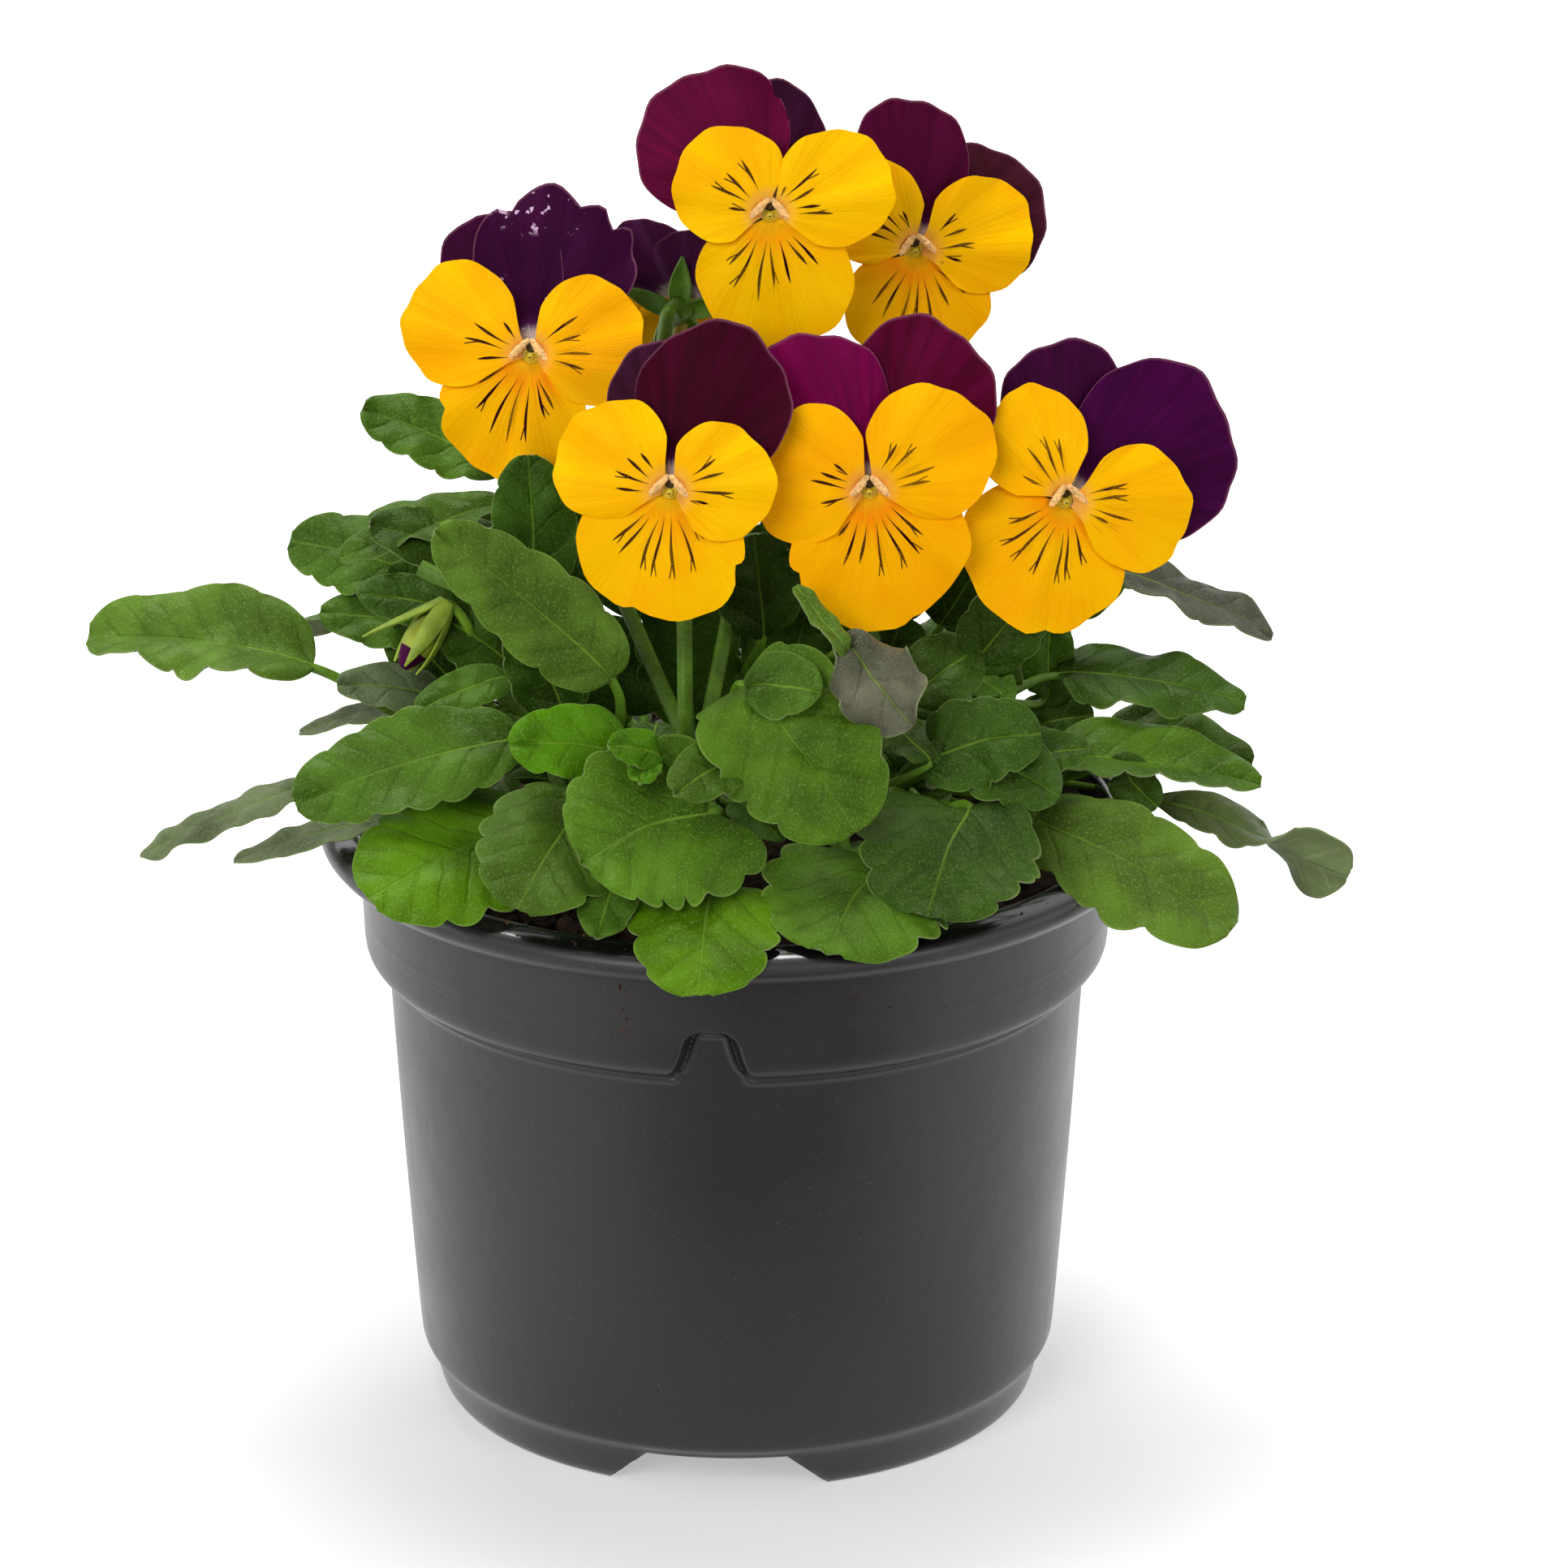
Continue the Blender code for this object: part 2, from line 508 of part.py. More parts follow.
def make_flowers(stalk_material):
    """Seven flowers: stalk with calyx, the upper pair, and the three lower petals."""
    yellow = finish("yellow_petal", (0.95, 0.42, 0.01), 0.5)
    purple = finish("purple_petal", (0.10, 0.006, 0.06), 0.6)
    for number, flower in FLOWERS.items():
        name = f"flower_{number}"
        petals = [bent_sheet(f"{name}_{kind}", 4, 3, petal_shape(flower, *outline, layer),
                             PETAL_WALL, purple if layer < 0 else yellow)
                  for kind, outline, layer in zip(PETAL_NAMES, PETALS[number], LAYERS)]
        lower, upper = petals[0], petals[3]
        lower.name = f"{name}_lower_petals"
        upper.name = f"{name}_upper_petals"
        throat = wire(f"{name}_throat", [in_face(flower, 0, 0, z) for z in
                                         (1.3, -0.6, -0.9, CALYX_FRONT + SEAT)],
                      [2.6, 2.6, 1.0, 1.0], None, 1)
        combine(lower, petals[1:3] + [throat], "UNION")
        claw = wire(f"{name}_claw", [in_face(flower, 0, 3.2, -1.7),
                                     in_face(flower, 0, 2.6, CALYX_FRONT + SEAT)],
                    [1.1, 1.1], None, 1)
        combine(upper, [petals[4], claw], "UNION")
        make_stalk(number, flower, stalk_material)


def make_stalk(number, flower, material):
    """A stalk that hooks over behind the flower and swells into the calyx."""
    shoot, place, bow = flower[3:]
    out = face_axes(*flower[1:3])[2]
    front = in_face(flower, 0, 0.4, CALYX_FRONT)
    hook = front - out * 6.5 + np.array([0, 0, 2.0])
    fall = front - out * 8.5 + np.array([0, 0, -6.0])
    start, way = springing(shoot, place, fall, STALK_R)
    middle = (start + fall) / 2 + np.asarray(bow, float)
    route = smooth_route([start, start + way * 4, middle, fall, hook, front - out * 3.5, front], 16)
    radii = np.full(len(route), STALK_R)
    radii[-3:] = (STALK_R * 1.5, CALYX_R, CALYX_R * 0.95)
    wire(f"flower_stalk_{number}", route, radii, material, 1)


def make_bud(material):
    """The nodding bud: a thin hooked stalk that swells into green sepals over the folded petals."""
    top, tip = np.asarray(BUD["top"], float), np.asarray(BUD["tip"], float)
    start, way = springing(BUD["shoot"], BUD["place"], top, 0.6)
    rise = top + np.array([3.5, 1.0, -3.0])
    route = smooth_route([start, start + way * 3, rise, top, top + (tip - top) * 0.35,
                          top + (tip - top) * 0.7, tip], 16)
    radii = np.full(len(route), 0.6)
    radii[-6:] = (0.9, 1.9, 2.7, 2.9, 2.3, 0.9)
    wire("flower_bud", route, radii, material, 1)


leaf_green = finish("leaf_green", (0.05, 0.14, 0.025), 0.45)
stem_green = finish("stem_green", (0.13, 0.27, 0.03), 0.45)
make_pot()
make_soil()
make_crown(stem_green)
make_leaves(leaf_green)
make_flowers(stem_green)
make_bud(stem_green)
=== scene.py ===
# %% [markdown]
# # A potted viola in flower
#
# The plant is a garden viola in its round nursery pot: a mound of scalloped leaves, seven
# flowers with three yellow petals under two velvety purple ones, and a nodding bud.
#
# Every sheet here is worked out with numpy as a grid of points, because a petal, a leaf and a
# pressed pot are all thin sheets whose shape a short formula gives better than pulling points by
# hand.  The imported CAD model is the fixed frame, and each finished piece takes its place.

import bpy
import numpy as np
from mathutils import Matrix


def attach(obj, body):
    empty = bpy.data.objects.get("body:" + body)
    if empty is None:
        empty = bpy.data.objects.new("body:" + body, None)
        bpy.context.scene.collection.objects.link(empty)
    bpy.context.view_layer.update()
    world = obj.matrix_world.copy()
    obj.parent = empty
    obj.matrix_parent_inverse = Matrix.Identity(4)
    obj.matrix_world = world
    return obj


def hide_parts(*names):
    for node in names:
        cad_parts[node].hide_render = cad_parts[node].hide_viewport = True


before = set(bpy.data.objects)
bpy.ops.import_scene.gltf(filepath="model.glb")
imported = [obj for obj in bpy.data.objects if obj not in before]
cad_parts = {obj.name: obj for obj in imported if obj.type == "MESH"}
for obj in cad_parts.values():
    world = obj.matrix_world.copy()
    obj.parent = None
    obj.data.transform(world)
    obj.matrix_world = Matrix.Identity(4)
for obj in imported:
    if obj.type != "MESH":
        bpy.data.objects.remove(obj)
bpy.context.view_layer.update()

# %% [markdown]
# ## Curves and ramps
#
# Shapes are written in millimetres and turned into metres once, when a mesh is made.  A
# Catmull-Rom curve passes through the points it is given, which suits stalks and midribs whose
# places are known; a Bezier curve would only pass near them.

# %% Small helpers for shapes
MM = 0.001
WAVES = 28


def unit(vector):
    """Vectors of length one, along the last axis."""
    vector = np.asarray(vector, float)
    return vector / np.linalg.norm(vector, axis=-1, keepdims=True)


def rise(x, low, high):
    """0 below low, 1 above high, and the smooth step 3t^2 - 2t^3 between them."""
    t = np.clip((np.asarray(x, float) - low) / (high - low), 0, 1)
    return t * t * (3 - 2 * t)


def curve(knots, t):
    """Points at t, from 0 to 1, on the Catmull-Rom curve through the knots."""
    knots = np.asarray(knots, float)
    ends = np.vstack([2 * knots[0] - knots[1], knots, 2 * knots[-1] - knots[-2]])
    place = np.clip(np.asarray(t, float) * (len(knots) - 1), 0, len(knots) - 1.0001)
    span = place.astype(int)
    u = (place - span)[..., None]
    a, b, c, d = ends[span], ends[span + 1], ends[span + 2], ends[span + 3]
    return 0.5 * (2 * b + (c - a) * u + (2 * a - 5 * b + 4 * c - d) * u ** 2
                  + (3 * b - a - 3 * c + d) * u ** 3)


def round_axis(reach, turn, height):
    """Points at a reach from the pot's axis, a turn in radians and a height."""
    parts = np.broadcast_arrays(reach * np.cos(turn), reach * np.sin(turn), height)
    return np.stack(parts, axis=-1)


def hills(x, y, size, rng):
    """Smooth random hills: the sum of sine waves about one size long, each on its own bearing."""
    bearing = rng.uniform(0, 2 * np.pi, WAVES)
    length = size * rng.uniform(0.7, 1.6, WAVES)
    slide = rng.uniform(0, 2 * np.pi, WAVES)
    run = x[..., None] * np.cos(bearing) + y[..., None] * np.sin(bearing)
    return np.sin(run * 2 * np.pi / length + slide).sum(-1) / np.sqrt(WAVES)


print("a smooth step half way is", float(rise(0.5, 0, 1)))

# %% [markdown]
# ## Shells
#
# A shell is one closed surface: its points, its faces, and facts kept at every point, such as how
# far along a leaf it lies or the tint of its petal.  The finishes read those facts later, so veins
# and markings follow the form wherever it bends.  Unwrapping each petal by hand would do the
# same, but a fact that comes from the formula is exact.

# %% Closed sheets and tubes from arrays of points
WIDE_FACTS = ("petal", "blade", "tint", "under")


def quads(index):
    """Four-sided faces between neighbouring entries of an index grid."""
    corners = index[:-1, :-1], index[1:, :-1], index[1:, 1:], index[:-1, 1:]
    return np.stack(corners, axis=-1).reshape(-1, 4)


def copies(faces, count, corners):
    """The faces of one small shape repeated for a count of them, each with its own corners."""
    return (faces + corners * np.arange(count)[:, None, None]).reshape(-1, faces.shape[1])


def shell(points, faces, caps=(), finish=0, **facts):
    """Gather a closed surface with its facts, each spread over all of its points."""
    points = points.reshape(-1, 3)
    spread = {}
    for name, fact in facts.items():
        fact = np.asarray(fact, float)
        wide = (len(points), 3) if name in WIDE_FACTS else (len(points),)
        spread[name] = np.broadcast_to(fact, wide) if fact.size <= 3 else fact.reshape(wide)
    return {"points": points, "faces": faces, "caps": list(caps), "finish": finish,
            "facts": spread}


def sheet(middle, wall, **facts):
    """A thin closed sheet with its upper side along the cross product of rows and columns.

    Each point of the middle surface moves half the wall out along its normal for the upper side
    and half the wall back for the under side, and a band of faces joins the two round the rim.
    """
    rows, columns = middle.shape[:2]
    normal = unit(np.cross(np.gradient(middle, axis=0), np.gradient(middle, axis=1)))
    half = np.broadcast_to(np.asarray(wall, float) / 2, (rows, columns))[..., None]
    index = np.arange(2 * rows * columns).reshape(2, rows, columns)
    loop = np.concatenate([index[0, 0, :-1], index[0, :-1, -1],
                           index[0, -1, :0:-1], index[0, :0:-1, 0]])
    below = loop + rows * columns
    rim = np.stack([loop, np.roll(loop, -1), np.roll(below, -1), below], axis=1)
    faces = np.concatenate([quads(index[0]), quads(index[1])[:, ::-1], rim])
    double = {}
    for name, fact in facts.items():
        fact = np.asarray(fact, float)
        double[name] = fact if fact.size <= 3 else np.stack([fact, fact])
    upper = np.stack([np.ones((rows, columns)), np.zeros((rows, columns))])
    points = np.stack([middle + normal * half, middle - normal * half])
    return shell(points, faces, upper=upper, **double)


def tube(route, radii, sides, finish=0, ridges=0.0, flat=1.0, **facts):
    """A closed tube: a ring carried along the route, turned as little as possible at each step.

    A ring's radius at angle a is r * (1 + ridges * cos 4a), and flat narrows it one way.
    """
    route = np.asarray(route, float)
    ahead = unit(np.gradient(route, axis=0))
    side = [unit(np.cross(ahead[0], (0.3, 1.0, 0.2)))]
    for way in ahead[1:]:
        side.append(unit(side[-1] - way * (side[-1] @ way)))
    side = np.array(side)
    other = np.cross(ahead, side)
    angle = np.linspace(0, 2 * np.pi, sides, endpoint=False)
    radius = np.broadcast_to(np.asarray(radii, float), len(route))[:, None]
    radius = radius * (1 + ridges * np.cos(4 * angle))
    points = (route[:, None] + side[:, None] * (radius * np.cos(angle))[..., None]
              + other[:, None] * (radius * np.sin(angle) * flat)[..., None])
    return closed_rings(points, finish, **facts)


def rooted_tube(root, line, girth, *form, **facts):
    """A tube along the line that starts inside the shoot, at its root, as thick as it comes out."""
    girth = np.broadcast_to(girth, len(line))
    return tube(np.vstack([root, line]), np.append(girth[0], girth), *form, **facts)


def closed_rings(points, finish=0, **facts):
    """Rings of points joined into a closed surface, with a flat cap on the first and the last."""
    count, sides = points.shape[:2]
    index = np.arange(count * sides).reshape(count, sides)
    wrapped = np.concatenate([index, index[:, :1]], axis=1)
    faces = quads(wrapped)[:, ::-1]
    return shell(points, faces, [index[0, ::-1].tolist(), index[-1].tolist()], finish, **facts)


# %% A mesh from shells
SHARP = np.radians(50)
PLANT = bpy.data.collections.new("potted_viola")
bpy.context.scene.collection.children.link(PLANT)


def piece(name, shells, finishes, replaces=()):
    """Make one mesh of the shells, in metres and with their facts, fix it to the root and hide the
    parts it replaces.
    """
    points = np.concatenate([part["points"] for part in shells]) * MM
    faces, numbers, start = [], [], 0
    for part in shells:
        faces += (part["faces"] + start).tolist()
        faces += [[corner + start for corner in cap] for cap in part["caps"]]
        numbers += [part["finish"]] * (len(part["faces"]) + len(part["caps"]))
        start += len(part["points"])
    mesh = bpy.data.meshes.new(name)
    mesh.from_pydata(points, [], faces)
    mesh.polygons.foreach_set("material_index", numbers)
    mesh.shade_smooth()
    mesh.set_sharp_from_angle(angle=SHARP)
    for name_of_fact in sorted({key for part in shells for key in part["facts"]}):
        wide = name_of_fact in WIDE_FACTS
        kind, field, blank = ("FLOAT_VECTOR", "vector", (3,)) if wide else ("FLOAT", "value", ())
        values = [part["facts"].get(name_of_fact, np.zeros((len(part["points"]), *blank)))
                  for part in shells]
        attribute = mesh.attributes.new(name_of_fact, kind, "POINT")
        attribute.data.foreach_set(field, np.concatenate(values).astype(np.float32).ravel())
    for material in finishes:
        mesh.materials.append(material)
    made = bpy.data.objects.new(name, mesh)
    PLANT.objects.link(made)
    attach(made, "root")
    if replaces:
        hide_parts(*replaces)
    return made


print("sheets, tubes and pieces are ready")

# %% [markdown]
# ## Formulas in a finish
#
# A procedural finish is a chain of nodes.  Written node by node, a formula such as a vein's
# distance from its neighbour is hard to read, so a small class lets each output take part in
# ordinary sums, and every operation adds its Math node.

# %% Node formulas
class Signal:
    """A node's output that can be added, multiplied and compared."""

    def __init__(self, tree, socket):
        self.tree = tree
        self.socket = socket

    def math(self, operation, *others):
        """A Math node's result on this signal and the others."""
        return signal(self.tree, "Math", 0, enumerate((self, *others)), operation=operation)

    def __add__(self, other):
        return self.math("ADD", other)

    def __sub__(self, other):
        return self.math("SUBTRACT", other)

    def __mul__(self, other):
        return self.math("MULTIPLY", other)

    def __truediv__(self, other):
        return self.math("DIVIDE", other)

    def ramp(self, low, high, start=0.0, end=1.0):
        """A smooth step from start to end while the signal goes from low to high."""
        inputs = {"Value": self, "From Min": low, "From Max": high, "To Min": start,
                  "To Max": end}
        return signal(self.tree, "MapRange", "Result", inputs, interpolation_type="SMOOTHSTEP")


def connect(value, socket):
    """Link a signal into a socket, or write a plain number or colour there."""
    if isinstance(value, Signal):
        value.tree.links.new(value.socket, socket)
    elif isinstance(value, tuple) and socket.type == "RGBA":
        socket.default_value = (*value, 1.0)
    else:
        socket.default_value = value


def signal(tree, kind, output, inputs=(), **settings):
    """One output of a new node, which gets its settings first and its inputs after them."""
    node = tree.nodes.new("ShaderNode" + kind)
    for key, value in settings.items():
        setattr(node, key, value)
    for key, value in dict(inputs).items():
        connect(value, node.inputs[key])
    return Signal(tree, node.outputs[output])


def split(whole):
    """The three parts of a vector, each a signal."""
    node = whole.tree.nodes.new("ShaderNodeSeparateXYZ")
    connect(whole, node.inputs[0])
    return [Signal(whole.tree, socket) for socket in node.outputs]


def fact(tree, name):
    """A single fact kept on the mesh."""
    return signal(tree, "Attribute", "Fac", attribute_name=name)


def tint_of(tree, name="tint"):
    """A colour, or three facts in one, kept on the mesh."""
    return signal(tree, "Attribute", "Vector", attribute_name=name)


def where(tree):
    """The point's own place on the object."""
    return signal(tree, "TexCoord", "Object")


def tree_of(*parts):
    """The node tree that the first signal among the parts belongs to."""
    return next(part.tree for part in parts if isinstance(part, Signal))


def vector(*parts):
    """Three signals or numbers as one vector."""
    return signal(tree_of(*parts), "CombineXYZ", 0, enumerate(parts))


def noise(place, scale, detail=2.0):
    """Fractal noise around 0.5 at a scale in waves to the metre."""
    inputs = {"Vector": place, "Scale": scale, "Detail": detail, "Roughness": 0.55}
    return signal(place.tree, "TexNoise", "Fac", inputs)


def blend(share, first, second, kind="MIX"):
    """Two colours mixed by a share."""
    inputs = {0: share, 6: first, 7: second}
    tree = tree_of(share, first, second)
    return signal(tree, "Mix", 2, inputs, data_type="RGBA", blend_type=kind)


def shade(colour, amount):
    """A colour made darker or lighter by a factor around one."""
    inputs = {0: colour, "Scale": amount}
    return signal(colour.tree, "VectorMath", 0, inputs, operation="SCALE")


print("node formulas are ready")

# %% A finish and its sockets
def finish(name, roughness, specular, **extra):
    """A material with its constants on the shader's own sockets."""
    material = bpy.data.materials.new(name)
    material.use_nodes = True
    tree = material.node_tree
    shader = tree.nodes["Principled BSDF"]
    constants = {"Roughness": roughness, "Specular IOR Level": specular, **extra}
    for key, value in constants.items():
        connect(value, shader.inputs[key.replace("_", " ")])
    return material, tree, shader


def paint(shader, colour, roughness=None):
    """Colour, and roughness where it changes from place to place."""
    connect(colour, shader.inputs["Base Color"])
    if roughness is not None:
        connect(roughness, shader.inputs["Roughness"])


def bump(shader, height, depth):
    """Relief from a signal, with its depth in metres."""
    relief = signal(height.tree, "Bump", 0, {"Distance": depth, "Height": height})
    connect(relief, shader.inputs["Normal"])


print("finishes can be made")

# %% [markdown]
# ## Floor, lamps and camera
#
# A catalogue shows its plants on white, under big soft lamps left, right and above.  The lamps
# stay at the level where a colour comes out about as it is written.  The white comes from what the
# camera and the reflections see of the floor and the world, not from more light on the leaves.
#
# Two things on the floor are painted for the pot's sake: the soft shade round its foot, which a
# white that glows would wash out, and a dark patch in front that only reflections see.  A glossy
# black pot shows what it stands before, and without the patch its middle would be pale.

# %% Camera
AIM = np.array([0.007, 0.0, 0.0928])
DISTANCE = 1.10
ELEVATION = np.radians(20.5)
SENSOR = 36
LENS = 172.8

camera = bpy.data.objects.new("camera", bpy.data.cameras.new("camera"))
bpy.context.scene.collection.objects.link(camera)
camera.data.sensor_width = SENSOR
camera.data.lens = LENS
camera.location = AIM + DISTANCE * np.array([0, -np.cos(ELEVATION), np.sin(ELEVATION)])
camera.rotation_euler = (np.pi / 2 - ELEVATION, 0, 0)
bpy.context.scene.camera = camera
print("camera at", np.round(camera.location, 3))

# %% Lamps and world
def soft_lamp(name, place, size, watts):
    """A square lamp that looks at the middle of the plant."""
    lamp = bpy.data.lights.new(name, "AREA")
    lamp.size = size
    lamp.energy = watts
    holder = bpy.data.objects.new(name, lamp)
    bpy.context.scene.collection.objects.link(holder)
    back = unit(np.asarray(place, float) - AIM)
    holder.location = place
    holder.rotation_euler = (np.arccos(back[2]), 0, np.arctan2(back[0], -back[1]))


def ray(tree, *kinds):
    """1 where the floor or the world is seen by rays of one of these kinds."""
    seen = [signal(tree, "LightPath", f"Is {kind} Ray") for kind in kinds]
    total = seen[0]
    for more in seen[1:]:
        total = total + more
    return total


soft_lamp("overhead", (-0.14, 0.36, 1.25), 0.6, 12.0)
soft_lamp("front_left", (-0.60, -1.36, 0.95), 0.9, 17.0)
soft_lamp("front_right", (1.0, -1.0, 0.7), 0.6, 5.5)
soft_lamp("side_left", (-1.15, 0.15, 0.45), 0.7, 4.5)
soft_lamp("side_right", (1.15, 0.15, 0.45), 0.7, 1.8)

FILL_LIGHT = 0.12
world = bpy.data.worlds.new("studio")
bpy.context.scene.world = world
world.use_nodes = True
tree = world.node_tree
seen = ray(tree, "Camera", "Glossy", "Transmission")
sky = tree.nodes["Background"]
connect((1.0, 1.0, 1.0), sky.inputs["Color"])
connect(seen.ramp(0, 1, FILL_LIGHT, 1.0), sky.inputs["Strength"])
bpy.context.scene.view_settings.view_transform = "Standard"
print("lamps:", len(bpy.data.lights))

# %% Floor
FLOOR_SHADE = (-0.015, -0.03, 0.0)
DARK_PATCH = (0.04, -0.26, 0.0)
FLOOR_REACH = 6


def distance_to(tree, spot):
    """How far the point on the object is from a spot."""
    return signal(tree, "VectorMath", "Value", {0: where(tree), 1: spot}, operation="DISTANCE")


floor_finish, tree, shader = finish("white_floor", 0.9, 0.0, Base_Color=(0.50, 0.49, 0.495),
                                    Emission_Color=(1.0, 1.0, 1.0))
seen = ray(tree, "Camera", "Glossy", "Transmission")
straight = ray(tree, "Camera")
mirrored = (seen - straight).math("MINIMUM", 1.0)
apart = distance_to(tree, FLOOR_SHADE)
strength = straight * (apart.ramp(0.02, 0.13, 0.42, 0.76) + apart.ramp(0.10, 0.55, 0.0, 0.24))
strength = strength + mirrored * distance_to(tree, DARK_PATCH).ramp(0.11, 0.21, 0.0, 1.0)
connect(strength, shader.inputs["Emission Strength"])
mesh = bpy.data.meshes.new("floor")
corners = [(-1, -1, 0), (1, -1, 0), (1, 1, 0), (-1, 1, 0)]
mesh.from_pydata(FLOOR_REACH * np.array(corners), [], [(0, 1, 2, 3)])
mesh.materials.append(floor_finish)
floor = bpy.data.objects.new("floor", mesh)
bpy.context.scene.collection.objects.link(floor)
print("stage is set")

# %% [markdown]
# ## The pot
#
# A nursery pot is drawn from one sheet of black plastic over a mould, so one closed section turned
# round the axis gives it all: foot ring, raised floor, tapering wall, collar and rolled lip.
# Turning a profile by modifier would do for the plain form, but three gates under the foot and the
# tab in the collar are pressed into the sheet, so the radius and height are functions of both the
# place on the section and the bearing.

# %% Section of the pot: reach and height of the sheet's middle, from the axis out and up to the lip
SHEET = 0.8
SECTION = np.array([
    (0, 7), (38.5, 7), (40.6, 5.8), (41.8, 3.0), (42.4, 0.4), (43.8, 0.4), (45.0, 5.0),
    (45.6, 6.6), (46.6, 7.6), (46.9, 9.0), (48.9, 36.0), (50.6, 64.2), (50.65, 65.0),
    (50.68, 65.6), (50.72, 66.2), (50.76, 66.8), (50.95, 67.4), (51.4, 68.0), (52.4, 68.5),
    (53.4, 69.0), (54.0, 69.8), (54.2, 71.0), (54.25, 72.2), (54.3, 73.2), (54.3, 73.9),
    (54.35, 74.5), (54.35, 75.0), (54.4, 75.5), (54.4, 76.0), (54.4, 76.6), (54.45, 77.8),
    (54.9, 86.0), (55.3, 88.8), (56.7, 89.6), (59.2, 88.9), (60.4, 88.0), (60.6, 86.7),
    (58.8, 85.0)])
FLOOR_TOP = 7
FOOT_REACH = 41
FOOT_POINTS = slice(4, 6)
KEPT = 0.78
AXIS_CAP = 0.8


def cut_corners(line, rounds):
    """Each span keeps two points, each 22% of it from an end, and so every corner is rounded."""
    for _ in range(rounds):
        near = KEPT * line[:-1] + (1 - KEPT) * line[1:]
        far = (1 - KEPT) * line[:-1] + KEPT * line[1:]
        cut = np.stack([near, far], axis=1).reshape(-1, line.shape[1])
        line = np.concatenate([line[:1], cut, line[-1:]])
    return line


def closed_section(middle, wall):
    """The sheet's under side, with its foot on the ground, and its inner side."""
    ahead = unit(np.gradient(middle, axis=0))
    left = np.stack([-ahead[:, 1], ahead[:, 0]], axis=1) * wall / 2
    under, inner = middle - left, middle + left
    under[FOOT_POINTS, 1] = 0.0
    return under, inner


under, inner = closed_section(SECTION, SHEET)
section = cut_corners(np.concatenate([under, inner[::-1]]), 2)
section[:, 0] = np.maximum(section[:, 0], AXIS_CAP)
inside = np.arange(len(section)) > len(section) / 2
print("section of", len(section), "points")

# %% Turn the section, closer together at the tab and with an edge at each gate's corners
FRONT = -93.5
GATES = FRONT + np.array([0, 120, 240])
GATE_HEIGHT = 5.8
GATE_EDGE = (12.9, 21.3)
EVERY, TAB_EVERY, TAB_REACH = 1.6, 0.25, 9.1


def away(angle, bearing):
    """How far an angle is from a bearing, in degrees, either way."""
    return np.abs((angle - bearing + 180) % 360 - 180)


even = np.arange(0, 360, EVERY)
tab = FRONT + np.arange(-TAB_REACH, TAB_REACH + 0.1, TAB_EVERY)
corners = GATES[:, None, None] + np.outer((-1, 1), GATE_EDGE)
bearing = np.concatenate([even, tab % 360, corners.ravel() % 360])
bearing = np.unique(np.round(bearing, 3))[None]
radius = np.repeat(section[:, :1], bearing.size, axis=1)
height = np.repeat(section[:, 1:], bearing.size, axis=1)
inner_side = inside[:, None]

from_gate = np.min([away(bearing, gate) for gate in GATES], axis=0)
slope = np.clip((from_gate - GATE_EDGE[0]) / (GATE_EDGE[1] - GATE_EDGE[0]), 0, 1)
gate = GATE_HEIGHT * (1 - slope)
low = (radius > FOOT_REACH) & (height < FLOOR_TOP) & (gate > 0.01)
height = np.where(low, np.maximum(height, gate + np.where(inner_side, SHEET, 0)), height)
print("meridians:", bearing.size)

# %% Press the tab into the collar, with a bead along its edge
TAB_HEIGHT = (68.0, 75.5)
TAB_EDGE = (5.2, 2.95)
TAB_FLARE, FLARE_FALL = 1.1, 0.8
EDGE_HEIGHT = 68.2
OVER_EDGE = 0.25
MM_TO_DEGREE = 0.92
CORNER = 1.8
SOFT_EDGE = (-0.7, 0.6)
WALL_REACH = (50, 56)
PRESSED_FROM = (64.6, 65.4)
BEAD, BEAD_IN, BEAD_WIDTH = 0.34, 1.3, 0.45
BEAD_FROM = 60
BODY = (50.65, 65.0, 0.065)

up = np.clip((height - TAB_HEIGHT[0]) / (TAB_HEIGHT[1] - TAB_HEIGHT[0]), 0, 1)
half = TAB_EDGE[0] + (TAB_EDGE[1] - TAB_EDGE[0]) * up
half = half + TAB_FLARE * np.exp(-np.maximum(height - EDGE_HEIGHT, 0) / FLARE_FALL)
aside = away(bearing, FRONT)
beside = (half + OVER_EDGE - aside) * MM_TO_DEGREE
top = TAB_HEIGHT[1] - height
corner = CORNER - np.hypot(np.maximum(CORNER - beside, 0), np.maximum(CORNER - top, 0))
inward = np.where((beside < CORNER) | (top < CORNER), corner, np.minimum(beside, top))
in_wall = (radius > WALL_REACH[0]) * (radius < WALL_REACH[1])
pressed = rise(inward, *SOFT_EDGE) * in_wall * rise(height, *PRESSED_FROM)
body = BODY[0] + BODY[2] * (height - BODY[1]) + np.where(inner_side, -SHEET, SHEET) / 2
radius = radius + (np.minimum(body, radius) - radius) * pressed
below = EDGE_HEIGHT - height
within = np.where(below > 0, np.hypot(np.maximum(beside, 0), below), inward)
bead = BEAD * np.exp(-((within - BEAD_IN) / BEAD_WIDTH) ** 2) * (height > BEAD_FROM)
radius = radius + bead * np.where(below > 0, 1, pressed)

pot_points = round_axis(radius, np.radians(bearing), height)
print("pot grid", pot_points.shape[:2])

# %% [markdown]
# ## Black plastic
#
# The plastic is charcoal, satin outside from the mould's fine grain and glossy on the rolled lip.
# Dust and dried water leave it slightly mottled.  A plain dark colour would look like rubber, so
# grain, specks and a change of gloss carry the look.

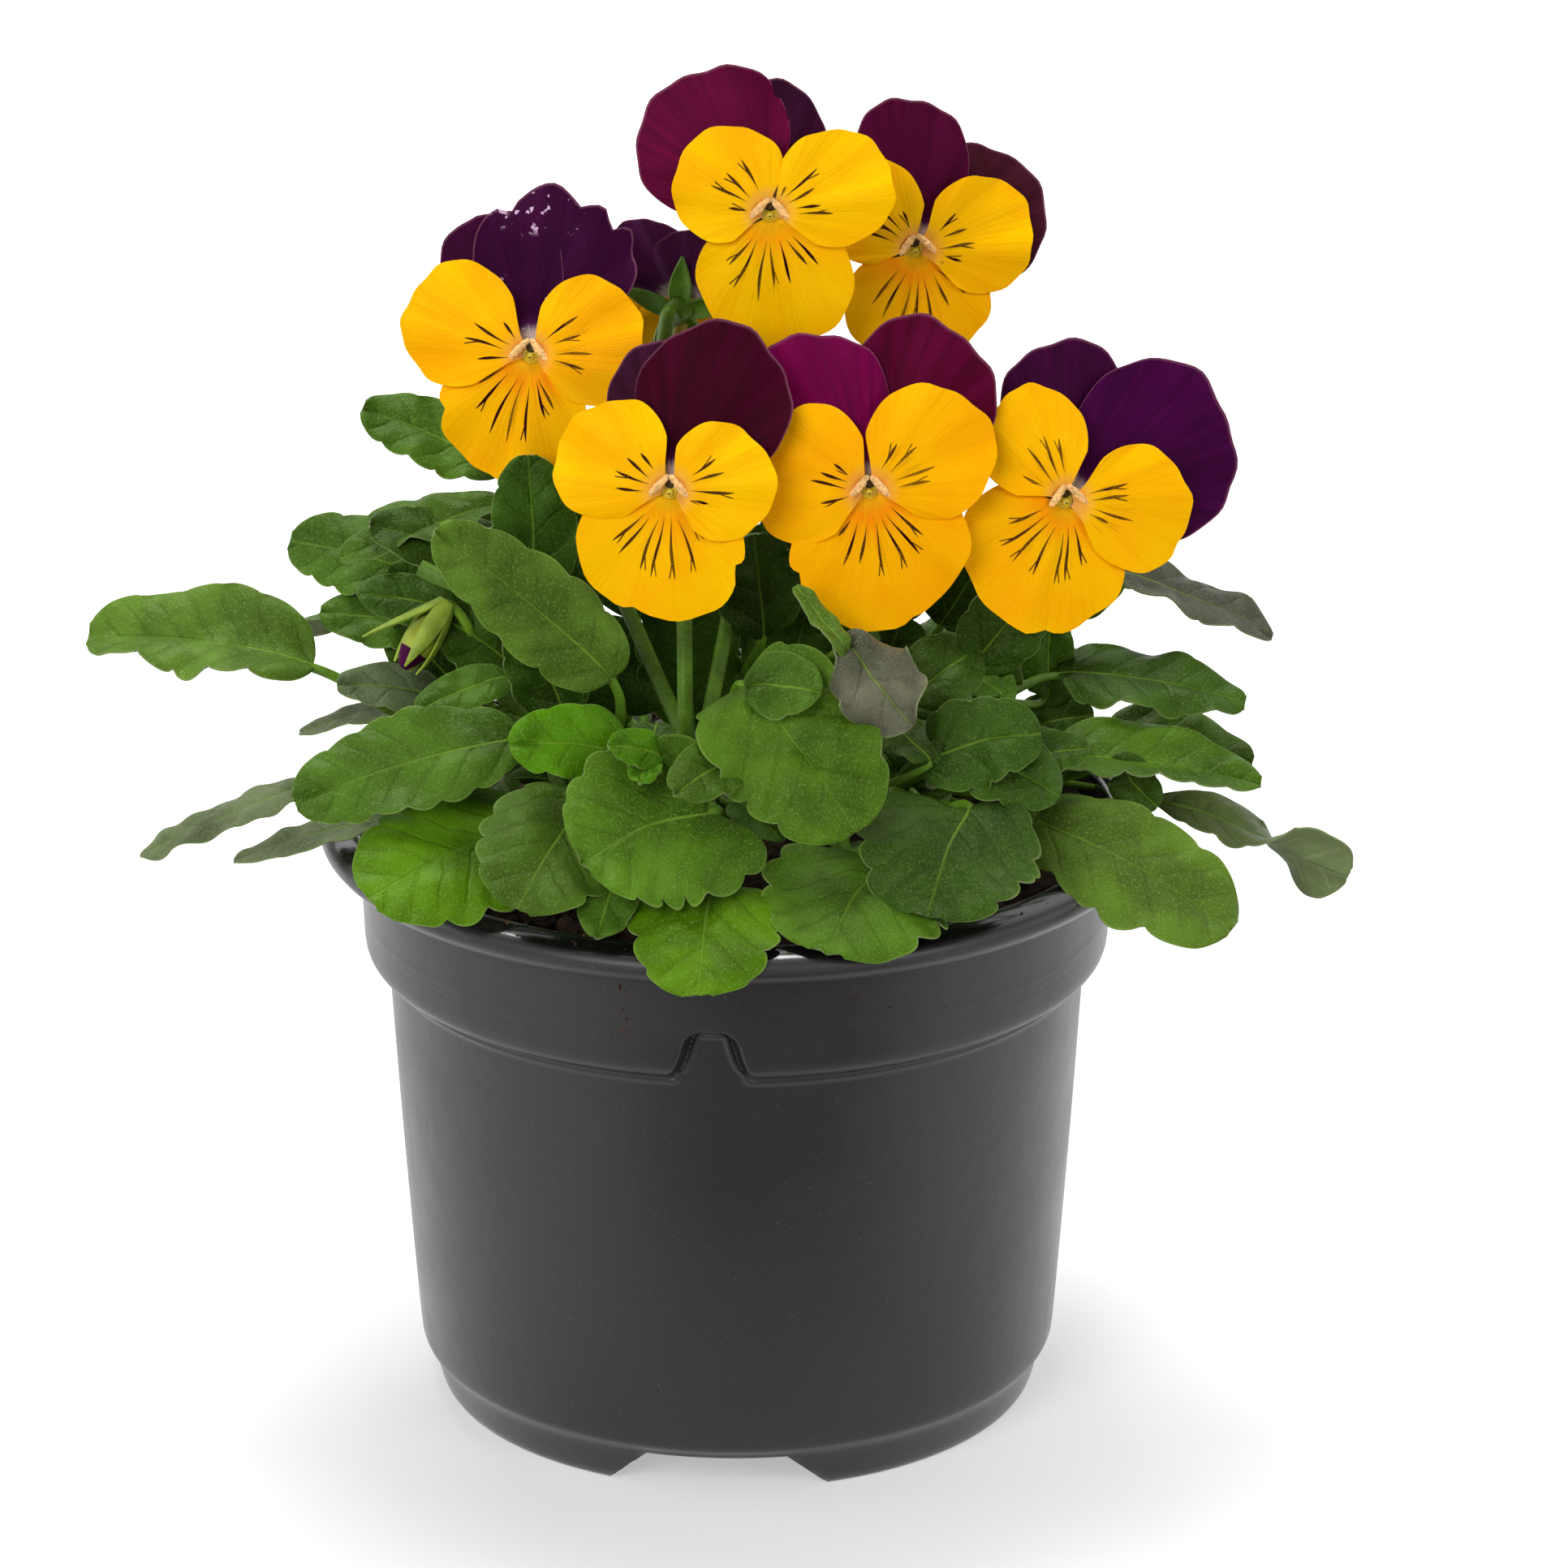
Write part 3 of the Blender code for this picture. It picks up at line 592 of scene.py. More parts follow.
# %% Finish of the pot
plastic, tree, shader = finish("black_pot_plastic", 0.40, 0.38, Coat_Roughness=0.12)
place = where(tree)
across, deep, tall = split(place)
reach = (across * across + deep * deep).math("SQRT")
lip = tall.ramp(0.0868, 0.0884) * reach.ramp(0.0602, 0.0595)
mottle = noise(place, 45, 4)
dust = noise(place, 2300).ramp(0.69, 0.75)
specks = noise(place, 520).ramp(0.79, 0.805)
colour = blend(mottle.ramp(0.35, 0.7), (0.0062, 0.0040, 0.0054), (0.0100, 0.0070, 0.0088))
colour = blend(lip, colour, (0.004, 0.004, 0.004))
colour = blend(dust * 0.34, colour, (0.14, 0.13, 0.13))
colour = blend(specks * 0.5, colour, (0.10, 0.055, 0.03))
paint(shader, colour, mottle.ramp(0.3, 0.75, 0.33, 0.41) - lip * 0.26)
connect(lip * 0.9, shader.inputs["Coat Weight"])
grain = noise(place, 2600, 3) * 0.5 + noise(place, 190) * 1.4
bump(shader, grain, 0.00006)
print("plastic is ready")

# %% Drain holes
DRAIN_HOLES = 6
HOLE_REACH = 27
HOLE_RADIUS = 4.0
pot = piece("nursery_pot", [closed_rings(pot_points)], [plastic], ["pot"])
for number in range(DRAIN_HOLES):
    turn = np.radians(FRONT + 360 / DRAIN_HOLES * (number + 0.5))
    drill = tube(round_axis(HOLE_REACH, turn, (4, 6, 8, 10)), HOLE_RADIUS, 28)
    mesh = bpy.data.meshes.new("drill")
    mesh.from_pydata(drill["points"] * MM, [], drill["faces"].tolist() + drill["caps"])
    cutter = bpy.data.objects.new("drill", mesh)
    PLANT.objects.link(cutter)
    cut = pot.modifiers.new("drain", "BOOLEAN")
    cut.operation = "DIFFERENCE"
    cut.solver = "MANIFOLD"
    cut.object = cutter
    whole = bpy.context.evaluated_depsgraph_get()
    bored = bpy.data.meshes.new_from_object(pot.evaluated_get(whole))
    pot.modifiers.clear()
    pot.data = bored
    bpy.data.objects.remove(cutter)
print("pot:", len(pot.data.polygons), "faces")

# %% [markdown]
# ## Potting soil
#
# Peat is a dark fibrous crumb.  Its top is a disc of smooth hills with sharper lumps on them, and
# loose crumbs and fibres lie on it.  Displacing a flat disc in the finish alone would leave the
# rim straight, so both the hills and the crumbs are real shapes.

# %% Peat
PLUG = np.array([(0.6, 7.7), (44.4, 7.7), (45.2, 9.4), (49.2, 66), (49.2, 76.8), (53.2, 78),
                 (53.6, 85.2)])
PEAT_TOP = 85.5
PEAT_TINT = (0.021, 0.013, 0.009)
AROUND = 200
rng = np.random.default_rng(11)


def peat_top(reach):
    """The plug's height: level at the wall, and 2 mm more from 20 mm off the axis inwards."""
    return PEAT_TOP + 2.0 * rise(-reach, -52.6, -20)


rings = np.linspace(53.4, 0.5, 70)
profile = np.concatenate([PLUG, np.stack([rings, peat_top(rings)], axis=1)])
angle = np.linspace(0, 2 * np.pi, AROUND, endpoint=False)[None]
points = round_axis(profile[:, :1], angle, profile[:, 1:])
x, y = points[..., 0], points[..., 1]
rough = hills(x, y, 14, rng) * 0.55 + hills(x, y, 4.5, rng) * 0.35 + hills(x, y, 1.8, rng) * 0.22
points[len(PLUG):, :, 2] += rough[len(PLUG):]
soil_shells = [closed_rings(points, tint=PEAT_TINT)]
print("peat plug:", points.shape[:2])

# %% Loose crumbs, each with a point below, five low, five high and a point on top
step = np.arange(5)
after = (step + 1) % 5
low_ring = round_axis(0.894, np.radians(-36 - 72 * step), -0.447)
high_ring = round_axis(0.894, np.radians(-72 - 72 * step), 0.447)
LUMP = np.round(np.concatenate([[(0, 0, -1)], low_ring, high_ring, [(0, 0, 1)]]), 2)
LUMP_FACES = np.concatenate([np.stack(face, axis=1) for face in (
    (0 * step, 1 + step, 1 + after), (1 + after, 1 + step, 6 + step),
    (1 + after, 6 + step, 6 + after), (6 + after, 6 + step, 11 + 0 * step))])


def crumbs(places, sizes, tints):
    """Twenty-sided lumps at the places, each pulled out of round by its own random factors."""
    count, corners = len(places), len(LUMP)
    stretch = rng.uniform(0.6, 1.3, (count, 1, 3))
    ragged = rng.uniform(0.75, 1.25, (count, corners, 1))
    points = places[:, None] + LUMP * stretch * ragged * sizes[:, None, None]
    faces = copies(LUMP_FACES, count, corners)
    return shell(points, faces, tint=np.repeat(tints, corners, axis=0))


ON_PEAT = 900
reach = 51.5 * np.sqrt(rng.uniform(0, 1, ON_PEAT))
spots = round_axis(reach, rng.uniform(0, 2 * np.pi, ON_PEAT), peat_top(reach) + 0.4)
brown = np.array([0.034, 0.02, 0.012]) * rng.uniform(0.35, 1.9, (ON_PEAT, 1))
soil_shells.append(crumbs(spots, rng.uniform(0.35, 1.25, ON_PEAT) ** 1.4, brown))
print("crumbs on the peat:", ON_PEAT)

# %% Fibres, crumbs spilt on the lip, most of them in front, and crumbs stuck beside the tab
FIBRES = 60
FIBRE_START, FIBRE_LOWEST = 87.2, 86.6
ON_LIP, IN_FRONT = 46, 30
ON_COLLAR, HEAPED = 16, 9
for _ in range(FIBRES):
    reach, turn = 50 * np.sqrt(rng.uniform(0, 1)), rng.uniform(0, 2 * np.pi)
    start = round_axis(reach, turn, FIBRE_START)
    step = unit(rng.normal(0, 1, 3) * (1, 1, 0.15)) * rng.uniform(3, 8)
    bend = rng.normal(0, 0.8, 3) * (1, 1, 0.4)
    line = curve([start, start + step / 2 + bend, start + step], np.linspace(0, 1, 7))
    line[:, 2] = np.maximum(line[:, 2], FIBRE_LOWEST)
    soil_shells.append(tube(line, np.linspace(0.22, 0.1, 7), 5,
                            tint=np.array([0.10, 0.055, 0.025]) * rng.uniform(0.4, 1.3)))
turn = rng.uniform(0, 2 * np.pi, ON_LIP)
turn[:IN_FRONT] = np.radians(rng.uniform(-150, -40, IN_FRONT))
reach = rng.uniform(56.0, 59.6, ON_LIP)
spots = round_axis(reach, turn, 90.0 - 0.33 * np.maximum(reach - 56.9, 0))
brown = np.array([0.08, 0.042, 0.022]) * rng.uniform(0.4, 1.6, (ON_LIP, 1))
soil_shells.append(crumbs(spots, rng.uniform(0.12, 0.32, ON_LIP), brown))
heap, strewn = rng.normal(-13, 0.8, HEAPED), rng.uniform(-30, 40, ON_COLLAR - HEAPED)
turn = np.radians(FRONT + np.append(heap, strewn))
tall = rng.uniform(75, 85, ON_COLLAR)
spots = round_axis(54.8 + 0.055 * (tall - 75), turn, tall)
brown = np.array([0.13, 0.055, 0.03]) * rng.uniform(0.5, 1.3, (ON_COLLAR, 1))
soil_shells.append(crumbs(spots, rng.uniform(0.12, 0.26, ON_COLLAR), brown))
print("fibres:", FIBRES, "and crumbs on the pot:", ON_LIP + ON_COLLAR)

# %% Finish of the peat
peat, tree, shader = finish("peat", 0.95, 0.15)
place = where(tree)
colour = blend(noise(place, 500, 4).ramp(0.35, 0.75), tint_of(tree), (0.055, 0.033, 0.02))
paint(shader, blend(0.6, tint_of(tree), colour))
bump(shader, noise(place, 1400, 4), 0.0006)
soil = piece("peat_top", soil_shells, [peat], ["potting_soil"])
print("soil:", len(soil.data.polygons), "faces")

# %% [markdown]
# ## Shoots and leaves
#
# A viola branches at the soil: eight short shoots rise and lean outwards, and each leaf springs
# from one of them on a grooved petiole.  Modelling one leaf and scattering copies is quick, but
# the eye finds the repeats at once on so small a plant, so the leaves share one formula and each
# has its own place, width, fold, teeth and tint.

# %% The eight shoots: foot, bend and end of each
SHOOTS = {
    "front_left": ((-4, -6, 89.5), (-14, -20, 95), (-24, -28, 104)),
    "front": ((-1, -7, 89.5), (-4, -18, 98), (-7, -24, 108)),
    "front_right": ((5, -5, 89.5), (16, -18, 95), (26, -24, 103)),
    "right": ((6, 0, 89.5), (20, -6, 97), (30, -12, 111)),
    "back_right": ((4, 5, 89.5), (18, 14, 96), (30, 18, 108)),
    "back": ((0, 7, 89.5), (-2, 18, 98), (-4, 24, 112)),
    "back_left": ((-4, 5, 89.5), (-17, 17, 96), (-28, 21, 108)),
    "left": ((-6, 0, 89.5), (-20, -3, 97), (-35, -5, 110)),
}
SIDEWAYS = 0.7
OUT_OF_SHOOT = 1.9


def shoot_point(shoot, place):
    """Points on a shoot: the parabola that passes through its bend half way along."""
    foot, bend, end = (np.asarray(p, float) for p in SHOOTS[shoot])
    t = np.asarray(place, float)[..., None]
    control = 2 * bend - (foot + end) / 2
    return (1 - t) ** 2 * foot + 2 * t * (1 - t) * control + t ** 2 * end


def springing(shoot, place, towards):
    """The root of a petiole or stalk in its shoot, where it leaves the shoot, and which way.

    Save at the shoot's end, most of its run along the shoot is taken off, so it starts sideways.
    """
    root = shoot_point(shoot, place)
    along = unit(shoot_point(shoot, place + 0.02) - shoot_point(shoot, place - 0.02))
    way = np.asarray(towards, float) - root
    way = unit(way - along * (way @ along) * (SIDEWAYS if place < 0.99 else 0.0))
    return root, root + way * OUT_OF_SHOOT, way


STEM = (0.095, 0.20, 0.012)
GIRTH = 1.6
KNUCKLES, KNUCKLE = 3, 0.25
ROUND_END = (0.97, 0.85, 0.5)
COLLAR, COLLAR_WAVE = 8.3, 0.35
DOME, DOME_RISE = 91.8, 3.8
crown = []
t = np.linspace(0, 1, 24)
for shoot in SHOOTS:
    line = shoot_point(shoot, 1.03 * t - 0.03)
    girth = GIRTH + KNUCKLE * np.cos(2 * np.pi * KNUCKLES * t) ** 4
    girth[-3:] *= ROUND_END
    crown.append(tube(line, girth, 16, ridges=0.05, tint=STEM))
dome = np.linspace(0.06, np.pi - 0.06, 22)[:, None]
turn = np.linspace(0, 2 * np.pi, 40, endpoint=False)[None]
collar = COLLAR + COLLAR_WAVE * np.cos(len(SHOOTS) * turn)
rootstock = round_axis(collar * np.sin(dome), turn, DOME - DOME_RISE * np.cos(dome))
crown.append(closed_rings(rootstock, tint=(0.11, 0.15, 0.03)))
print("shoots:", len(SHOOTS))

# %% One blade
BIG_GRID = (66, 19)
SMALL_GRID = (34, 11)
BLADE_WALL = 0.42
RIM_LOSS = 0.2
VEIN_GAP = 4.9
VEIN_LEAN = 0.85
DROOP = 0.05
PILLOW = 0.76
GROOVE = 0.26


def midrib_ways(line, up_way):
    """The way along a midrib at each of its points, and the way up, square to it."""
    along = unit(np.gradient(line, axis=0))
    return along, unit(up_way - along * (along @ up_way)[:, None])


def blade(knots, width, up_way, belly, look, rng, grid):
    """The blade of a leaf over its midrib.

    Its half width is sin(pi * s^belly)^0.6 of the leaf's, with s from 0 to 1 along it and the
    power falling to 0.38 at the blunt tip.  Scalloped teeth cut the margin by
    1 - |sin(pi n s)|^0.5.  A heart-shaped base slides the lower part back beside the petiole.
    The two halves fold up from the midrib, which lies in a groove, arch down to the margin,
    ripple along it, swell into pillows between the side veins, and roll with random hills.
    """
    tint, heart, teeth, fold, arch, wave, twist, under = look
    rows, columns = grid
    line = np.linspace(0, 1, rows)[:, None]
    s = 0.55 * line + 0.45 * (0.5 - 0.5 * np.cos(np.pi * line))
    v = np.sin(np.linspace(-1, 1, columns) * np.pi / 2)[None]
    edge = np.abs(v)
    centre = curve(knots, 0.5 + 0.5 * s[:, 0])
    length = np.linalg.norm(np.asarray(knots[-1]) - knots[2])
    along, up = midrib_ways(centre, up_way)
    over = np.cross(up, along)
    angle = (twist * s[:, 0] ** 1.3)[:, None]
    over, up = (over * np.cos(angle) + up * np.sin(angle),
                up * np.cos(angle) - over * np.sin(angle))

    blunt = 0.60 - 0.22 * rise(s, 0.45, 0.85)
    swell = np.sin(np.pi * np.minimum(s ** belly, 0.996)) ** blunt
    half = width / 2 * np.maximum(swell, 0.05)
    shift = rng.uniform(0, 1, 2)
    teeth_at = teeth * s + np.where(v > 0, shift[0], shift[1])
    notch = (1 - np.abs(np.sin(np.pi * teeth_at)) ** 0.5) * rise(s, 0.06, 0.2)
    notch = notch * (1 - rise(s, 0.80, 0.93))
    deep = 0.05 + 0.11 * rise(width, 8, 16)
    beside = half * v * (1 - deep * notch * edge ** 8)
    back = heart * width * 0.42 * (np.abs(beside) / (width / 2)) ** 1.4
    back = back * np.clip(1 - s / 0.5, 0, 1) ** 2

    vein = (s * length - VEIN_LEAN * np.abs(beside)) / VEIN_GAP + 0.5 * (v > 0)
    quilt = PILLOW * (0.5 - 0.5 * np.cos(2 * np.pi * vein)) * edge * (1 - edge ** 3)
    slide = rng.uniform(0, 2 * np.pi, 2)
    ripple = np.sin(2 * np.pi * 2.2 * s + np.where(v > 0, slide[0], slide[1]))
    lift = (fold * half * (np.sqrt(v * v + 0.015) - 0.12) - arch * half * v * v
            + wave * half * edge ** 3 * ripple + quilt * (width / 18)
            - GROOVE * np.exp(-(beside / 0.6) ** 2) + 0.10 * notch * half * edge ** 6
            + width * 0.036 * hills(s * length, beside, 0.62 * width, rng) * rise(edge, 0, 0.35)
            - DROOP * length * s ** 3)
    middle = (centre[:, None] + over[:, None] * beside[..., None] + up[:, None] * lift[..., None]
              - along[rows // 5] * back[..., None])
    facts = np.stack(np.broadcast_arrays(s * length, beside, edge), axis=-1)
    wall = BLADE_WALL - RIM_LOSS * edge ** 4
    return sheet(middle, wall, blade=facts, tint=tint, under=under)


# %% One leaf
MIDRIB_END = 0.86


def leaf(plan, look, rng, grid=BIG_GRID):
    """A leaf: its blade, and a petiole that runs on under it as the midrib."""
    shoot, place, base, tip, width, face, belly = plan
    base, tip = np.asarray(base, float), np.asarray(tip, float)
    root, start, way = springing(shoot, place, base)
    reach = np.linalg.norm(base - start)
    knots = [start, start + way * reach * 0.25 + (base - start) * 0.25, base,
             (base + tip) / 2 + np.array([0, 0, 0.06 * width]), tip]
    up_way = unit(np.asarray(face, float))
    t = np.linspace(0, MIDRIB_END, 42)
    line = curve(knots, t)
    up = midrib_ways(line, up_way)[1]
    thick = np.interp(t, (0, 0.45, 0.55, MIDRIB_END), (0.95, 0.8, 0.7, 0.18))
    thick = thick * (0.6 + width / 45)
    lower = rise(t, 0.42, 0.56) * (thick + 0.20)
    lower = lower + DROOP * np.linalg.norm(tip - base) * np.clip(2 * t - 1, 0, 1) ** 3
    line = line - up * lower[:, None]
    stem = rooted_tube(root, line, thick, 10, 1, 0.04, 0.85,
                       tint=np.array(STEM) * rng.uniform(0.85, 1.3))
    return [stem, blade(knots, width, up_way, belly, look, rng, grid)]


print("one leaf has", 2 * BIG_GRID[0] * BIG_GRID[1], "points in its blade")

# %% [markdown]
# ## Leaf skin
#
# The upper side is deep green with a waxy satin sheen, a fine grain of cells that carries painted
# glints, a paler midrib, and a pale margin that is partly painted rim light.  Its faint side veins
# run forward, darkened with painted shade in their creases, and the blade is darkened with painted
# shade towards its base.  The under side is dull grey green, and a few leaves flush purple in the
# cold.  An image of a leaf would do this too, but here the veins come from the same distances that
# shaped the blade.

# %% Finish of the leaves
SQUARE_TO_VEIN = 0.76
leaf_skin, tree, shader = finish("leaf_skin", 0.42, 0.15, Specular_Tint=(0.78, 1.0, 0.42))
place = where(tree)
along, beside, edge = split(tint_of(tree, "blade"))
upper = fact(tree, "upper")
beside_size = beside.math("ABSOLUTE")
side = beside.math("GREATER_THAN", 0.0)
vein = (along - beside_size * VEIN_LEAN) / VEIN_GAP + side * 0.5
wander = noise(place, 160) - 0.5
from_vein = (vein + wander * 0.5).math("FRACT").math("SUBTRACT", 0.5).math("ABSOLUTE")
from_vein = (from_vein * -1 + 0.5) * (VEIN_GAP * SQUARE_TO_VEIN)
veins = from_vein.ramp(0.02, 0.50, 1, 0) * edge.ramp(0.55, 0.95, 1, 0)
net = signal(tree, "TexVoronoi", "Distance", {"Scale": 620, "Vector": place},
             feature="DISTANCE_TO_EDGE").ramp(0.0, 0.16, 1, 0)
midrib = beside_size.ramp(0.05, 0.30, 1, 0)
# The thin pale margin is partly the leaf's own paler edge and partly painted rim light, on both
# sides.
margin = edge.ramp(0.955, 0.995)
patches = noise(place, 95, 3)
cells_and_glints = noise(place, 3000)
colour = shade(tint_of(tree), patches.ramp(0.3, 0.72, 0.60, 1.38))
# Painted shade: the blade is darker towards its base, where other leaves usually lie over it.
colour = shade(colour, along.ramp(0.0, 9.0, 0.72, 1.0))
colour = blend(edge.ramp(0.35, 1.0) * 0.26, colour, shade(tint_of(tree), 1.45))
# Painted shade: the colour darkens along the side veins, in the creases between the pillows.
colour = shade(colour, veins * -0.14 + 1.0)
colour = blend(net * 0.05, colour, (0.12, 0.24, 0.03))
colour = blend(midrib * along.ramp(3.0, 22.0, 0.60, 0.17), colour, (0.20, 0.35, 0.03))
colour = blend(margin * 0.34, colour, (0.26, 0.38, 0.08))
# Painted glints: pale specks over the cell grain stand in for light caught on the cells; the same
# noise also roughens and bumps the skin.
glint = blend(0.30, shade(tint_of(tree), 2.1), (0.22, 0.30, 0.13))
colour = blend(cells_and_glints.ramp(0.53, 0.66) * 0.44, colour, glint)
below = blend(veins * 0.4 + net * 0.12, tint_of(tree, "under"), (0.27, 0.32, 0.16))
below = blend(margin * 0.4, below, (0.34, 0.38, 0.22))
paint(shader, blend(upper, below, colour), upper.ramp(0, 1, 0.62, 0.42) + (cells_and_glints - 0.5) * 0.2)
relief = cells_and_glints * 0.5 + noise(place, 900) * 0.5 - veins * 0.5 - midrib * 0.5
relief = relief + noise(place, 300) * 0.9
bump(shader, relief, 0.00020)
print("leaf finish is ready")

# %% Finish of the stems, and the crown in it
stem_skin, tree, shader = finish("stem_skin", 0.42, 0.2)
place = where(tree)
streak = noise(place, 240, 3)
colour = shade(tint_of(tree), streak.ramp(0.3, 0.72, 0.72, 1.3))
down = noise(place, 2600, 1).ramp(0.62, 0.75) * 0.25
paint(shader, blend(down, colour, (0.30, 0.42, 0.12)))
bump(shader, noise(place, 1500, 3), 0.00012)
piece("crown_shoots", crown, [stem_skin], ["plant_crown"])
print("crown:", len(crown), "shells")

# %% Where every leaf sits: shoot, place on it, blade's base and tip, width, facing, belly
LEAVES = {
    "front_low": ("front", 0.55, (-3, -46, 96), (-5, -65.5, 87), 22, (0, -0.6, 0.8), 0.9),
    "front_centre": ("front", 0.75, (-3, -44, 105), (-21, -55, 102), 27, (0, -0.8, 0.6), 0.8),
    "front_right_low": ("front_right", 0.5, (21, -40, 96), (13, -60, 91), 28, (0, -0.6, 0.8), 0.9),
    "front_right": ("front_right", 0.75, (33, -36, 103), (27, -56, 95), 27, (0, -0.75, 0.65), 0.85),
    "right_large": ("front_right", 0.95, (41, -24, 97), (71, -36, 85.2), 21,
                    (0.2, -0.6, 0.7), 1.1),
    "front_left_round": ("front_left", 0.75, (-21, -39, 104), (-30, -56, 96), 22,
                         (0, -0.75, 0.65), 0.85),
    "left_low": ("front_left", 0.55, (-27, -31, 98), (-51, -49, 95), 25, (-0.1, -0.65, 0.75), 0.85),
    "left_large": ("front_left", 0.95, (-30, -31, 111.3), (-62, -38, 105), 16, (0, -0.7, 0.7), 0.9),
    "bright_left": ("front", 0.85, (-16, -36, 111), (-31, -43, 115), 12, (0, -0.8, 0.6), 0.7),
    "centre_large": ("front_right", 0.2, (1, -38, 122), (17, -51, 105), 24, (0, -0.85, 0.5), 0.85),
    "centre_small": ("front", 0.98, (2, -40, 122), (12, -44, 123), 10, (0, -0.8, 0.6), 0.8),
    "centre_dark": ("back", 0.45, (4, -10, 119), (3, -16, 136), 13, (0.2, -0.9, 0.3), 0.8),
    "centre_left_high": ("front_left", 0.85, (-17.4, -33, 121), (-40.8, -40, 145), 14.5,
                         (0.1, -0.9, 0.4), 0.72),
    "curled_purple": ("front_right", 0.4, (15, -38, 127.5), (24.5, -46, 118.5), 12.5,
                      (0.2, -0.6, 0.7), 1.15),
    "right_mid": ("right", 0.85, (27, -31, 108), (43, -33, 113), 14, (0, -0.8, 0.6), 0.8),
    "right_inner": ("front_right", 0.9, (38, -22, 106), (50, -20, 105), 8, (0, -0.6, 0.8), 0.8),
    "far_left": ("left", 0.5, (-61, -5, 113), (-94, 0, 117), 18, (0, -0.45, 0.9), 0.75),
    "left_high_far": ("left", 0.75, (-43, 8, 120.6), (-65.4, 14, 126.3), 15, (0, -0.7, 0.7), 0.7),
    "left_high_near": ("left", 0.97, (-33, -3, 136), (-57, -7, 131), 9, (0, -0.3, 0.95), 0.8),
    "left_behind_flower": ("back_left", 0.9, (-34, 10, 137.4), (-54, 12, 147), 12.5,
                           (0, -0.6, 0.8), 0.8),
    "left_bud": ("left", 0.6, (-43, 4, 114.3), (-60.5, 5, 118.2), 10, (0, -0.6, 0.8), 0.8),
    "left_mid": ("left", 0.8, (-32, -20, 116.5), (-45, -27, 114.5), 8, (0, -0.5, 0.85), 0.8),
    "left_pale_low": ("left", 0.5, (-60, -2, 93.4), (-87.5, -4, 84.4), 9, (0, -0.15, 1), 0.8),
    "left_pale_rim": ("left", 0.35, (-49, -15, 93.0), (-72.7, -16, 88), 8, (0, -0.15, 1), 0.8),
    "right_high": ("back_right", 0.95, (54, 10, 121.8), (79, 8, 114.5), 12, (0.1, -0.12, 1), 0.8),
    "right_upper": ("right", 0.9, (47, 0, 110.0), (74, -4, 108.0), 13.5, (0, -0.4, 0.9), 0.7),
    "right_middle_back": ("right", 0.6, (55, 8, 99), (76, 6, 94.6), 11, (0, -0.55, 0.83), 0.8),
    "right_middle": ("right", 0.45, (46, -11, 101), (76, -13, 98.8), 14, (0, -0.3, 0.95), 0.62),
    "far_right": ("right", 0.3, (60, -2, 91), (89.5, -6, 81.4), 16, (0, -0.77, 0.64), 1.6),
    "back_low": ("back", 0.5, (6, 42, 98), (14, 67, 88), 21, (0, 0.5, 0.85), 0.75),
    "back_low_left": ("back_left", 0.6, (-28, 36, 99), (-44, 55, 91), 20, (-0.3, 0.5, 0.8), 0.75),
    "back_low_right": ("back_right", 0.55, (34, 32, 99), (52, 48, 90), 20, (0.3, 0.5, 0.8), 0.75),
    "back_left": ("back_left", 0.85, (-44, 30, 110), (-68, 38, 104), 16, (-0.2, 0.4, 0.9), 0.75),
    "back_right": ("back_right", 0.8, (43, 25, 104), (63, 33, 99), 16, (0.2, 0.4, 0.9), 0.75),
    "back_high": ("back", 0.9, (-8, 36, 120), (-14, 54, 122), 17, (0, 0.5, 0.85), 0.75),
}
print("leaves with their own place:", len(LEAVES))

